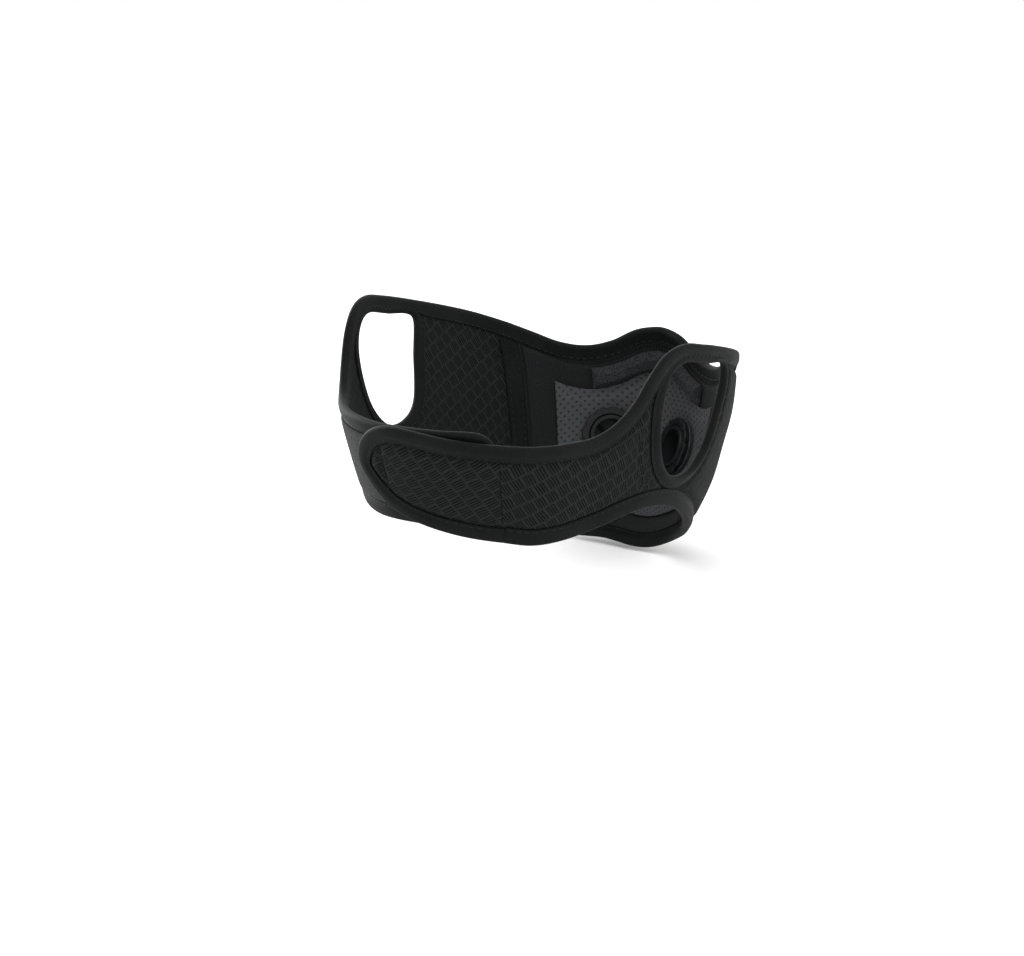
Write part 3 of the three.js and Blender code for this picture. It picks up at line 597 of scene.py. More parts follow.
# ---------------------------------------------------------------- centre seam tape
# A flat tape down the middle of the face, over the seam that joins the two front halves.
CENTRE_SPREAD = 3
POCKET_TOP = BINDING_ARM + 0.8
POCKET_HEIGHT = 9

tape, cut = cloth(
    "centre_tape", (-CENTRE_SPREAD, CENTRE_SPREAD), lambda a: bottom_edge(a) + BINDING_ARM + 0.4,
    lambda a: top_edge(a) - POCKET_TOP - POCKET_HEIGHT - 1,
    lambda a, m, p: 0 * a + PANEL + 0.15,
    lambda a, m, p: PANEL + 0.35 + 0.5 * rise((CENTRE_SPREAD - np.abs(a)) / 0.7), cell=0.8)
dress(tape, binding_knit, binding_knit)
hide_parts("centre_seam_tape")
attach(tape, "front")
rows = []
for way in (-2.1, 2.1):
    tall = np.linspace(bottom_edge(0) + BINDING_ARM + 1,
                       top_edge(0) - POCKET_TOP - POCKET_HEIGHT - 2, 60)
    rows.append(dress(stitch_row(f"centre_tape_stitches_{'right' if way > 0 else 'left'}",
                                 0 * tall + way, tall, PANEL + 0.82), thread))
    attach(rows[-1], "front")
on_panel["front_right"][2].extend([tape, *rows])

# ---------------------------------------------------------------- nose clip, pocket and foam
# A soft aluminium strip lies over the bridge of the nose in a sewn pocket of the printed
# cloth. A strip of foam inside seals the cloth to the nose. The strip itself is the CAD node.
CLIP_DEPTH = PANEL + 0.3
CLIP_THICK = 0.8


def nose_pocket(a, m, p):
    low = top_edge(a) - POCKET_TOP - POCKET_HEIGHT
    edge = np.minimum(np.minimum(m - low, low + POCKET_HEIGHT - m), (28 - np.abs(a)) * 1.6)
    return CLIP_DEPTH - 0.2 + (CLIP_THICK + 0.45) * rise((edge - 0.9) / 1.5)


pocket, cut = cloth(
    "nose_pocket", (-28, 28), lambda a: top_edge(a) - POCKET_TOP - POCKET_HEIGHT,
    lambda a: top_edge(a) - POCKET_TOP, nose_pocket,
    lambda a, m, p: nose_pocket(a, m, p) + 0.5, cell=0.6)
dress(pocket, jersey, jersey)
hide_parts("nose_clip_pocket")
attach(pocket, "front")
rows = []
for row, up in (("low", -POCKET_HEIGHT + 0.8), ("high", -0.8)):
    across = np.linspace(-27, 27, 80)
    rows.append(dress(stitch_row(f"nose_pocket_stitches_{row}", across,
                                 top_edge(across) - POCKET_TOP + up, CLIP_DEPTH + 0.36), thread))
    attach(rows[-1], "front")
on_panel["front_right"][2].extend([pocket, *rows])


def rolled_aluminium():
    """Annealed aluminium strip: rolling lines along its length and a dull, easily bent skin."""
    made, tree, shader = surface("annealed aluminium strip", roughness=0.38, metallic=1.0)
    place = node(tree, "TexCoord", out="Object")
    lines = node(tree, "Mapping", {"Vector": place, "Scale": (40, 40, 3000)})
    roll = node(tree, "TexNoise", {"Vector": lines, "Scale": 1.0, "Detail": 3.0})
    tree.links.new(mixed(tree, roll, linear("#b3b7ba"), linear("#d3d6d8")),
                   shader.inputs["Base Color"])
    relief(tree, shader, roll, 0.02)
    return made


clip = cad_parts["nose_clip"]
clip.data.materials.clear()
clip.data.materials.append(rolled_aluminium())


def open_cell_foam():
    """Reticulated polyurethane foam, charcoal: cells about 0.7 mm across, their mouths painted dark
    as shade.
    """
    made, tree, shader = surface("open-cell polyurethane foam", roughness=0.95,
                                 specular_ior_level=0.2)
    place = node(tree, "TexCoord", out="Object")
    cell = node(tree, "TexVoronoi", {"Vector": place, "Scale": 1400.0, "Randomness": 1.0})
    shaded_mouth = node(tree, "MapRange", {"Value": cell, "From Min": 0.1, "From Max": 0.6})
    # Painted shade: each cell's mouth is coloured darker than the foam around it.
    tree.links.new(mixed(tree, shaded_mouth, linear("#0a0b0b"), linear("#2a2c2d")),
                   shader.inputs["Base Color"])
    relief(tree, shader, shaded_mouth, 0.3)
    return made


FOAM_OUTER = -GAP - LINING - 0.7
foam_low = lambda a: top_edge(a) - HEM - 10
foam, _ = cloth(
    "nose_foam_strip", (-24, 24), foam_low, lambda a: top_edge(a) - HEM - 0.5,
    lambda a, m, p: FOAM_OUTER - 1.0 - 2.5 * rise(np.minimum(np.minimum(
        m - foam_low(a), foam_low(a) + 9.5 - m), (24 - np.abs(a)) * 1.5) / 3.0 + 0.1),
    lambda a, m, p: 0 * a + FOAM_OUTER, cell=0.6)
dress(foam, open_cell_foam(), open_cell_foam())
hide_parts("nose_foam")
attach(foam, "front")

# ---------------------------------------------------------------- filter sheet
# A loose filter behind the lining: pressed fibre layers welded together round the border. The
# two valve barrels pass through it and hold it.
FILTER_OUTER = -GAP - LINING - 0.7
FILTER = 1.2
FILTER_SPREAD = 36
FILTER_INSET = 18
filter_low = lambda a: bottom_edge(a) + FILTER_INSET
filter_high = lambda a: top_edge(a) - FILTER_INSET


def pressed_felt():
    """Melt-blown polypropylene felt, charcoal, point-bonded: round weld dots 2.6 mm apart pressed
    into a surface of loose fibres."""
    made, tree, shader = surface("point-bonded filter felt", roughness=0.93,
                                 specular_ior_level=0.25)
    plan = node(tree, "TexCoord", out="UV")
    turned = node(tree, "Mapping", {"Vector": plan, "Rotation": (0, 0, math.radians(45)),
                                    "Scale": (1 / 2.6, 1 / 2.6, 1)})
    dots = node(tree, "TexVoronoi", {"Vector": turned, "Scale": 1.0, "Randomness": 0.0})
    weld = node(tree, "MapRange", {"Value": dots, "From Min": 0.16, "From Max": 0.26})
    fibre = node(tree, "TexNoise", {"Vector": plan, "Scale": 1.6, "Detail": 6.0,
                                    "Distortion": 1.5})
    height = node(tree, "Math", {0: weld, 1: fibre}, operation="ADD")
    shade = node(tree, "MapRange", {"Value": height, "From Min": 0.3, "From Max": 1.7})
    tree.links.new(mixed(tree, shade, linear("#1e2021"), linear("#3f4243")),
                   shader.inputs["Base Color"])
    relief(tree, shader, height, 0.25)
    return made


def filter_loft(a, m, p):
    edge = np.minimum(np.minimum(m - filter_low(a), filter_high(a) - m),
                      (FILTER_SPREAD - np.abs(a)) * 1.4)
    return rise((edge - 3.5) / 1.6)


felt = pressed_felt()
sheet, cut = cloth(
    "filter_sheet", (-FILTER_SPREAD, FILTER_SPREAD), filter_low, filter_high,
    lambda a, m, p: FILTER_OUTER - FILTER * (0.55 + 0.45 * filter_loft(a, m, p)),
    lambda a, m, p: FILTER_OUTER - 0.25 * (1 - filter_loft(a, m, p)), cell=1.0,
    keep=lambda a, m, p: np.minimum(from_port(p, "right"), from_port(p, "left"))
    > PORT_RADIUS + 0.6)
dress(sheet, felt, felt)
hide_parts("filter_insert")
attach(sheet, "front")

# ---------------------------------------------------------------- side panels
# Each side panel is one piece of black sandwich mesh over foam. It runs from the cheek seam,
# round the ear opening, and on as the strap to the back of the neck.
TAB_SEAM = 153
LEFT_END = 206
LIFT_START = 122
LOOP_PILE = 0.7
HOOK_PILE = 0.8
CLOSURE_LIFT = PANEL + GAP + LOOP_PILE + GAP + HOOK_PILE + GAP
EAR_ARM = 4.2
LEFT_TOP = np.concatenate([TOP_EDGE[TOP_EDGE[:, 0] < 142], np.array([
    [142, 0.2], [153, 0.6], [165, 1], [177, 1.9], [190, 2.6], [198, 3.2], [201.5, 2.8],
    [204.5, 0], [206, -7]])])
LEFT_BOTTOM = np.concatenate([BOTTOM_EDGE[BOTTOM_EDGE[:, 0] < 134], np.array([
    [134, -38], [144, -38.6], [153, -38.6], [165, -37.6], [177, -36.6], [190, -36],
    [198, -35.6], [201, -34.6], [204, -31], [206, -25]])])
EAR_HOLE = np.array([
    [78.3, 20.5], [90, 24.6], [100, 27], [105.6, 21], [107, 8], [104, -10], [97, -20.3],
    [88, -21], [81.5, -14], [79, 3],
])
left_top = lambda a: curve(np.abs(a), LEFT_TOP)
left_bottom = lambda a: curve(np.abs(a), LEFT_BOTTOM)


def closed_curve(points, per_span=12):
    """A loop through the points: on each span the uniform Catmull-Rom cubic of its four
    nearest points."""
    p0, p1, p2, p3 = (np.roll(points, k, 0)[:, None] for k in (1, 0, -1, -2))
    t = np.linspace(0, 1, per_span, endpoint=False)[None, :, None]
    spans = 0.5 * (2 * p1 + (p2 - p0) * t + (2 * p0 - 5 * p1 + 4 * p2 - p3) * t**2
                   + (3 * p1 - p0 - 3 * p2 + p3) * t**3)
    return spans.reshape(-1, 2)


ear_a, ear_m = even_path(*closed_curve(EAR_HOLE).T, step=1.2, loop=True)
right_lift = lambda a: CLOSURE_LIFT * rise((a - LIFT_START) / (TAB_SEAM - 5 - LIFT_START))


def in_ear_hole(a, m):
    """True where an upward line from the place crosses the ear loop an odd number of times."""
    a, odd = np.abs(a), np.zeros(a.shape, bool)
    for k in range(len(ear_a)):
        a0, a1, m0, m1 = ear_a[k - 1], ear_a[k], ear_m[k - 1], ear_m[k]
        cross = m0 + (a - a0) / (a1 - a0 + 1e-12) * (m1 - m0)
        odd ^= ((a0 > a) != (a1 > a)) & (m < cross)
    return odd


def side_thickness(a, m, p, edges):
    """The laminate puffs up between its sewn edges, sinks into a channel beside each tape, and
    has upright folds behind the ear."""
    ear = nearest(p * [np.sign(a.mean()), 1, 1], wrap(ear_a, ear_m))
    edge = nearest(p, edges)
    seam = (np.abs(a) - CHEEK_SEAM) * 1.5
    loft = (rise((edge - BINDING_ARM - 0.7) / 2.8) * rise((ear - EAR_ARM - 0.7) / 2.6)
            * rise((seam + 0.2) / 3))
    channel = 0.35 * (np.exp(-((edge - BINDING_ARM - 0.4) / 0.6) ** 2)
                      + np.exp(-((ear - EAR_ARM - 0.4) / 0.6) ** 2))
    behind = rise((np.abs(a) - 103) / 3) * rise((m + 30) / 8) * rise((10 - m) / 8)
    creases = 1.0 * np.exp(-((ear - 7.2) / 0.8) ** 2) + 0.75 * np.exp(-((ear - 10.6) / 0.9) ** 2)
    full = PANEL + 0.15 + folds(a, m, 0.22) - behind * creases
    return PRESSED + (full - PRESSED) * loft - channel


def sandwich_mesh():
    """Polyester sandwich mesh, black. Slits in groups of four fill cells 5.5 by 4.5 mm that
    are set like slanting bricks, with plain knit between them. The real slits are 0.8 mm
    apart; they are drawn 1 mm apart so that they show. They are open, and their near-black
    colour is painted shade; the bars between them catch light as fine dashes."""
    made, tree, shader = surface("polyester sandwich mesh", roughness=0.88, sheen_weight=0.012,
                                 sheen_roughness=0.35, specular_ior_level=0.07)
    calc = lambda how, *values, **more: node(tree, "Math", dict(enumerate(values)),
                                             operation=how, **more)
    plan = node(tree, "TexCoord", out="UV")
    # The knit is pulled about 0.4 mm out of true over each 10 mm.
    pull = node(tree, "TexNoise", {"Vector": plan, "Scale": 0.1, "Detail": 1.0}, out="Color")
    pull = node(tree, "VectorMath", {0: pull, 1: (0.5, 0.5, 0.5)}, operation="SUBTRACT")
    pulled = node(tree, "VectorMath", {0: pull, 1: (1.5, 1.5, 0.0), 2: plan},
                  operation="MULTIPLY_ADD")
    along = node(tree, "SeparateXYZ", {"Vector": pulled}, out="X")
    over = node(tree, "SeparateXYZ", {"Vector": pulled}, out="Y")
    column = calc("DIVIDE", along, 5.5)
    step = calc("MULTIPLY", calc("FLOOR", column), 1.8)
    in_column = calc("FRACT", column)
    row = calc("DIVIDE", calc("ADD", over, step), 4.5)
    in_row = calc("FRACT", row)
    slit = calc("PINGPONG", calc("MULTIPLY", in_row, 4.5), 0.5)
    slit = node(tree, "MapRange", {"Value": slit, "From Min": 0.17, "From Max": 0.3})
    ends = calc("PINGPONG", in_column, 0.5)
    ends = node(tree, "MapRange", {"Value": ends, "From Min": 0.03, "From Max": 0.11})
    tops = calc("PINGPONG", in_row, 0.5)
    tops = node(tree, "MapRange", {"Value": tops, "From Min": 0.06, "From Max": 0.1})
    shaded_slits = calc("MULTIPLY", calc("MULTIPLY", slit, ends), tops)
    fluff = node(tree, "TexNoise", {"Vector": plan, "Scale": 1.5, "Detail": 4.0})
    wide = node(tree, "TexNoise", {"Vector": plan, "Scale": 0.12, "Detail": 2.0})
    worn = node(tree, "MapRange", {"Value": wide, "From Min": 0.35, "From Max": 0.6,
                                   "To Min": 1.0, "To Max": 0.85})
    shaded_slits = calc("MULTIPLY", shaded_slits, worn)
    bar = mixed(tree, fluff, linear("#0e100f"), linear("#2a2d2b"))
    bar = mixed(tree, calc("MULTIPLY", wide, 0.4), bar, linear("#131514"))
    # Painted shade: the slits take a near-black colour for the shade inside them.
    tree.links.new(mixed(tree, shaded_slits, bar, linear("#070808")), shader.inputs["Base Color"])
    height = calc("SUBTRACT", calc("MULTIPLY", fluff, 0.35), shaded_slits)
    relief(tree, shader, height, 0.4)
    return made


mesh_knit = sandwich_mesh()
ends_right = (CHEEK_SEAM, TAB_SEAM)
ends_left = (-CHEEK_SEAM, -LEFT_END + 0.5)
for name, ends, low, high, lift, turn in (
        ("right", ends_right, bottom_edge, top_edge, right_lift, -1.08),
        ("left", ends_left, left_bottom, left_top, lambda a: 0 * a, -1.08)):
    run = np.linspace(*ends, 500)
    edges = np.concatenate([wrap(run, low(run)), wrap(run, high(run))])
    panel, cut = cloth(
        f"side_mesh_{name}", ends, lambda a: low(a) + 0.5, lambda a: high(a) - 0.5,
        lambda a, m, p: lift(a), lambda a, m, p: lift(a) + side_thickness(a, m, p, edges),
        cell=1.0, grain=turn, keep=lambda a, m, p: ~in_ear_hole(a, m) & (nearest(
            p * [np.sign(a.mean()), 1, 1], wrap(ear_a, ear_m)) > 0.7))
    dress(panel, mesh_knit, mesh_knit)
    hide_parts(f"side_panel_{name}")
    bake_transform(panel)
    on_panel[f"side_{name}"] = (panel, cut, [])
    # Two rows of topstitching beside the cheek seam, one on each piece.
    side = np.sign(ends[0])
    for row, way in (("side", 1.4), ("front", -1.4)):
        tall = np.linspace(bottom_edge(CHEEK_SEAM) + BINDING_ARM + 1,
                           top_edge(CHEEK_SEAM) - BINDING_ARM - 1, 60)
        seam_row = dress(stitch_row(f"cheek_stitches_{row}_{name}", 0 * tall
                                    + side * (CHEEK_SEAM + way), tall, PRESSED + 0.35), thread)
        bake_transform(seam_row)
        on_panel[f"side_{name}"][2].append(seam_row)

# ---------------------------------------------------------------- edge bindings
# A tape is folded over every raw edge and sewn through with one row of stitches, 1 mm from its
# inner edge. It rolls into a soft, rounded rim outside that row.


def edge_tape(name, a, m, arm, lift=0.0, roll=1.0, loop=False):
    """Tape carried along a path. Seen across, its outer face runs from the reach arm, flat for
    1 mm, up a quarter sine to the rim, round half an ellipse, and back inside. Its inner face
    is that line moved in by the tape's thickness."""
    arm, lift = np.broadcast_to(arm, a.shape), np.broadcast_to(lift, a.shape)
    run = np.arange(len(a)) * 1.5
    rim = roll * (1 + 0.05 * np.sin(run * 2 * np.pi / 3.0) + 0.05 * np.sin(run / 11.0))
    t = np.linspace(0, 1, 9)[None]
    reach = arm[:, None] + (0.6 - arm[:, None]) * t
    over = np.clip((arm[:, None] - reach - 0.9) / np.minimum(2.6, arm[:, None] - 1.4), 0, 1)
    rim = rim[:, None]
    upper = np.stack([reach, 1.68 + rim * np.sin(np.pi / 2 * over) + 0 * t], -1)
    round_ = np.linspace(np.pi / 2, 3 * np.pi / 2, 10)[None, 1:]
    middle, half = (1.68 + rim - 0.75) / 2, (1.68 + rim + 0.75) / 2
    fold = np.stack([0.6 + 1.45 * np.cos(round_) + 0 * rim, middle + half * np.sin(round_)], -1)
    tuck = t[:, 2::2]
    under = np.stack([0.6 + (0.9 * arm[:, None] - 0.6) * tuck, -0.75 + 0 * rim + 0 * tuck], -1)
    outer = np.concatenate([upper, fold, under], 1)
    way = unit(np.gradient(outer, axis=1))
    inner = outer + 0.5 * np.stack([-way[..., 1], way[..., 0]], -1)
    da, dm = inward_steps(a, m, loop)
    place = lambda c: skin(a[:, None] + da[:, None] * c[..., 0],
                           m[:, None] + dm[:, None] * c[..., 0], lift[:, None] + c[..., 1])
    along = np.repeat(run[:, None], outer.shape[1], 1)
    across = np.concatenate([[0], np.cumsum(np.linalg.norm(np.diff(outer[0], axis=0), axis=1))])
    uv = np.stack([along, np.broadcast_to(across, along.shape)], -1)
    return dress(solid(name, place(inner), place(outer), uv=uv, ring=loop), binding_knit,
                 binding_knit)


def smooth(values, passes=6, loop=False):
    """Each value becomes the mean of itself and its neighbours, a number of times."""
    values = np.array(values, float)
    for _ in range(passes):
        wide = np.pad(values, 1, mode="wrap" if loop else "edge")
        values = (wide[:-2] + wide[1:-1] + wide[2:]) / 3
    return values


def sew(name, a, m, arm, lift, hold, loop=False):
    """Both rows of stitches of a tape, in and out, held the same way as the tape."""
    made = []
    for face, depth in (("out", 1.66), ("in", -0.78)):
        da, dm = inward_steps(a, m, loop)
        inset = np.broadcast_to(arm, a.shape) - 0.95
        row_a, row_m = a + da * inset, m + dm * inset
        flat = np.broadcast_to(lift, a.shape) + depth
        row = dress(stitch_row(f"{name}_stitches_{face}", row_a, row_m, flat, loop=loop), thread)
        hold(row)
        made.append(row)
    return made


ear_line = wrap(ear_a, ear_m)


def edge_arm(a, m, wide):
    """The tape's reach: its full width, or up to the ear opening's own tape on the narrow strip
    over the ear."""
    room = nearest(wrap(np.abs(a), m), ear_line)
    return smooth(np.clip(room - 1.1, 2.6, wide))


front_half = np.linspace(0, CHEEK_SEAM, 200)
right_run = np.linspace(CHEEK_SEAM, TAB_SEAM, 400)
left_run = np.linspace(CHEEK_SEAM, LEFT_END, 600)
for name, side in SIDES:
    hold = lambda piece, name=name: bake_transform(piece)
    # Over the nose: it runs outwards on the right, and inwards on the left.
    for edge, heights, way in (("top", top_edge, 1), ("bottom", bottom_edge, -1)):
        a, m = even_path(side * front_half[::side * way], heights(front_half)[::side * way])
        tape = edge_tape(f"{edge}_tape_front_{name}", a, m, BINDING_ARM)
        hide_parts(f"{edge}_binding_front")
        hold(tape)
        on_panel[f"front_{name}"][2].extend([tape, *sew(
            f"{edge}_tape_front_{name}", a, m, BINDING_ARM, 0.0, hold)])

for edge, heights, way, wide in (("top", top_edge, 1, BINDING_ARM),
                                 ("bottom", bottom_edge, -1, 6.2)):
    hold = lambda piece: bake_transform(piece)
    a, m = even_path(right_run[::way], heights(right_run)[::way])
    arm, lift = edge_arm(a, m, wide), right_lift(a)
    tape = edge_tape(f"{edge}_tape_right", a, m, arm, lift)
    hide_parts(f"{edge}_binding_right")
    hold(tape)
    on_panel["side_right"][2].extend([tape, *sew(f"{edge}_tape_right", a, m, arm, lift, hold)])

# The left strap's binding runs along the bottom, round the end and back along the top.
hold = lambda piece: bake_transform(piece)
a, m = even_path(-np.concatenate([left_run, left_run[::-1]]),
                 np.concatenate([left_bottom(left_run), left_top(left_run[::-1])]), round_off=2)
arm = edge_arm(a, m, BINDING_ARM)
tape = edge_tape("strap_tape_left", a, m, arm)
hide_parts("strap_binding_left")
hold(tape)
on_panel["side_left"][2].extend([tape, *sew("strap_tape_left", a, m, arm, 0.0, hold)])

for name, side in SIDES:
    hold = lambda piece, name=name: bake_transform(piece)
    a, m = (side * ear_a)[::-side], ear_m[::-side]
    run = np.linspace(CHEEK_SEAM + 1, 150, 400)
    room = nearest(wrap(np.abs(a), m), wrap(run, top_edge(run)))
    arm = smooth(np.clip(room - BINDING_ARM + 0.4, 2.2, EAR_ARM), loop=True)
    low = smooth(0.35 + 0.65 * rise((arm - 2.4) / 1.4), loop=True)
    lift = right_lift(a) if side > 0 else 0 * a
    tape = edge_tape(f"ear_tape_{name}", a, m, arm, lift, roll=low, loop=True)
    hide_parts(f"ear_binding_{name}")
    hold(tape)
    on_panel[f"side_{name}"][2].extend([tape, *sew(
        f"ear_tape_{name}", a, m, arm, lift, hold, loop=True)])

# ---------------------------------------------------------------- closure tab
# The tongue sewn to the end of the right strap. The same mesh, turned a quarter on the bolt,
# lies over the left strap, and a cross row of stitches holds the end of the hook patch.
TAB_TIP = 202.5
TAB = 1.8
TAB_TOP = np.array([
    [153, 0.6], [165, 1.6], [177, 3.2], [185, 3.8], [190, 2.8], [194, 0.4], [198, -3.6],
    [201, -8.6], [202.5, -12],
])
TAB_BOTTOM = np.array([
    [153, -37.8], [165, -36.8], [177, -34.6], [186, -32], [193, -28], [198, -22.6],
    [201, -17.6], [202.5, -14.6],
])
HOOK_END = 191.5
tab_top = lambda a: curve(a, TAB_TOP)
tab_bottom = lambda a: curve(a, TAB_BOTTOM)
tab_run = np.linspace(TAB_SEAM, TAB_TIP, 300)
tab_edges = np.concatenate([wrap(tab_run, tab_bottom(tab_run)), wrap(tab_run, tab_top(tab_run))])
seam_mid = skin(np.array(float(TAB_SEAM)), np.array(-18.0), CLOSURE_LIFT)
seam_way = unit(slopes(np.array(TAB_SEAM + 2.0), np.array(-18.0))[0])


def tab_thickness(a, m, p):
    edge = nearest(p, tab_edges)
    seam = (a - TAB_SEAM) * 1.5
    cross_row = np.exp(-((a - HOOK_END) * 1.5 / 1.7) ** 2)
    loft = rise((edge - BINDING_ARM - 0.7) / 2.4) * rise((seam + 1.6) / 3) * (1 - cross_row)
    channel = 0.35 * np.maximum(np.exp(-((edge - BINDING_ARM - 0.4) / 0.6) ** 2), cross_row)
    return PRESSED + (TAB + 0.3 + folds(a, m, 0.15) - PRESSED) * loft - channel


panel, cut = cloth(
    "tab_mesh", (TAB_SEAM, TAB_TIP - 0.6), lambda a: tab_bottom(a) + 0.5,
    lambda a: tab_top(a) - 0.5, lambda a, m, p: 0 * a + CLOSURE_LIFT,
    lambda a, m, p: CLOSURE_LIFT + tab_thickness(a, m, p), cell=0.85, grain=0.56)
dress(panel, mesh_knit, mesh_knit)
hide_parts("closure_tab")
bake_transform(panel)
tab_rows = []
for row, at, depth in (("seam", TAB_SEAM + 1.2, PRESSED + 0.25), ("hook", HOOK_END, PRESSED + 0.3)):
    tall = np.linspace(tab_bottom(at) + BINDING_ARM + 0.5, tab_top(at) - BINDING_ARM - 0.5, 60)
    tab_rows.append(dress(stitch_row(f"tab_stitches_{row}", 0 * tall + at, tall,
                                     CLOSURE_LIFT + depth), thread))
    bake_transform(tab_rows[-1])

hold = lambda piece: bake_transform(piece)
a, m = even_path(np.concatenate([tab_run, tab_run[::-1]]),
                 np.concatenate([tab_top(tab_run), tab_bottom(tab_run[::-1])]), round_off=3)
tape = edge_tape("tab_tape", a, m, BINDING_ARM, CLOSURE_LIFT, roll=0.95)
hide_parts("tab_binding")
hold(tape)
tab_rows.extend([tape, *sew("tab_tape", a, m, BINDING_ARM, CLOSURE_LIFT, hold)])

# ---------------------------------------------------------------- hook and loop patches
# The hook patch under the tab grips the loop patch on the outside of the left strap. Both are
# cut from fastener tape and sewn on round their edges.
PATCH_MARGIN = BINDING_ARM + 0.2


def loop_pile():
    """Brushed nylon loop pile, black: a mat of fine curled loops, soft and dull, that scatters
    a pale haze where it is seen edge on."""
    made, tree, shader = surface("brushed nylon loop pile", roughness=0.97, sheen_weight=0.08,
                                 sheen_roughness=0.6, specular_ior_level=0.1)
    plan = node(tree, "TexCoord", out="UV")
    curl = node(tree, "TexNoise", {"Vector": plan, "Scale": 1.7, "Detail": 5.0,
                                   "Distortion": 2.5})
    clump = node(tree, "TexNoise", {"Vector": plan, "Scale": 0.35, "Detail": 3.0})
    height = node(tree, "Math", {0: curl, 1: clump}, operation="ADD")
    shade = node(tree, "MapRange", {"Value": height, "From Min": 0.6, "From Max": 1.4})
    tree.links.new(mixed(tree, shade, linear("#0d0f0e"), linear("#272a29")),
                   shader.inputs["Base Color"])
    relief(tree, shader, height, 0.5)
    return made


def moulded_hooks():
    """Moulded nylon hook tape, black: rows of small hooks 1.3 mm apart on a glossy base. The
    hooks are coloured lighter than the base, a painted highlight on their tops.
    """
    made, tree, shader = surface("moulded nylon hooks", roughness=0.5, ior=1.53,
                                 specular_ior_level=0.4)
    plan = node(tree, "TexCoord", out="UV")
    spaced = node(tree, "Mapping", {"Vector": plan, "Scale": (1 / 1.3, 1 / 1.3, 1)})
    hook = node(tree, "TexVoronoi", {"Vector": spaced, "Scale": 1.0, "Randomness": 0.15})
    lit_hook_tip = node(tree, "MapRange", {"Value": hook, "From Min": 0.45, "From Max": 0.15})
    # Painted highlight: the hook tops are lighter than the base.
    tree.links.new(mixed(tree, lit_hook_tip, linear("#080909"), linear("#222425")),
                   shader.inputs["Base Color"])
    relief(tree, shader, lit_hook_tip, 0.5)
    return made


pile, hooks = loop_pile(), moulded_hooks()
loop_low = lambda a: left_bottom(a) + PATCH_MARGIN
loop_high = lambda a: left_top(a) - PATCH_MARGIN
patch, cut = cloth(
    "loop_patch_pile", (-129, -196.5), loop_low, loop_high,
    lambda a, m, p: 0 * a + PANEL - 0.35,
    lambda a, m, p: PANEL + 0.05 + LOOP_PILE * rise(np.minimum(np.minimum(
        m - loop_low(a), loop_high(a) - m), np.minimum(np.abs(a) - 129, 196.5 - np.abs(a)) * 1.5)
        / 1.1 + 0.1) + folds(a, m, 0.06), cell=0.8)
dress(patch, pile, pile)
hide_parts("loop_patch")
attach(patch, "wing_left")

hook_inner = PANEL + GAP + LOOP_PILE + GAP
hook_low = lambda a: tab_bottom(a) + PATCH_MARGIN + 1
hook_high = lambda a: tab_top(a) - PATCH_MARGIN - 1
patch, cut = cloth(
    "hook_patch_hooks", (TAB_SEAM + 6, HOOK_END - 0.5), hook_low, hook_high,
    lambda a, m, p: 0 * a + hook_inner + 0.1, lambda a, m, p: 0 * a + CLOSURE_LIFT - 0.05,
    cell=0.8)
dress(patch, hooks, hooks)
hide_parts("hook_patch")
hold(patch)

# ---------------------------------------------------------------- exhaust valves
# Each valve is a moulded seat whose flange lies on the print and whose barrel passes through
# every layer. A rubber disc lies on the seat, a slotted cap clips over it, and a gasket and a
# lock ring clamp the layers from inside.
BORE_RADIUS = 7.4
BARREL_RADIUS = 9.0
FLANGE_RADIUS = 12.5
FLANGE_TOP = 4.2
BARREL_END = -8.8
CAP_BASE = FLANGE_TOP + GAP
GASKET_DEPTH = 6.0
ROUND = 96


def in_port(name, radius, angle, height):
    """Polar places about a valve's axis, turned into the mask's frame."""
    local = np.stack(np.broadcast_arrays(radius * np.cos(angle), radius * np.sin(angle), height),
                     -1)
    return port[name]["at"] + local @ port[name]["turn"].T


def cloth_level(name, side, depth):
    """The height of a cloth depth over the port's own plane, as a fifth-power polynomial in x
    and y fitted to the wrap around the port."""
    a, m = np.meshgrid(side * VALVE_ANGLE + np.linspace(-13, 13, 40),
                       VALVE_HEIGHT + np.linspace(-19, 19, 40))
    local = (skin(a, m, depth).reshape(-1, 3) - port[name]["at"]) @ port[name]["turn"] / 15
    powers = [(i, j) for i in range(6) for j in range(6 - i)]
    terms = lambda x, y: np.stack([x**i * y**j for i, j in powers], -1)
    fit = np.linalg.lstsq(terms(local[:, 0], local[:, 1]), local[:, 2], rcond=None)[0]
    return lambda radius, angle: 15 * (terms(radius * np.cos(angle) / 15,
                                             radius * np.sin(angle) / 15) @ fit)


def turned(name, valve, radius, height, angle):
    """A closed ring: a closed outline of radius and height carried round the valve's axis."""
    points = in_port(valve, radius, angle, height)
    n, k = points.shape[:2]
    index = np.arange(n * k).reshape(n, k)
    quads = np.stack([index, np.roll(index, -1, 0), np.roll(np.roll(index, -1, 0), -1, 1),
                      np.roll(index, -1, 1)], -1).reshape(-1, 4)
    flat = points.reshape(-1, 3)
    p, q, r = (flat[quads[:, c]] for c in (0, 1, 2))
    if (p * np.cross(q, r)).sum() < 0:
        quads = quads[:, ::-1]
    return mesh_object(name, points, quads, soft=math.radians(38))


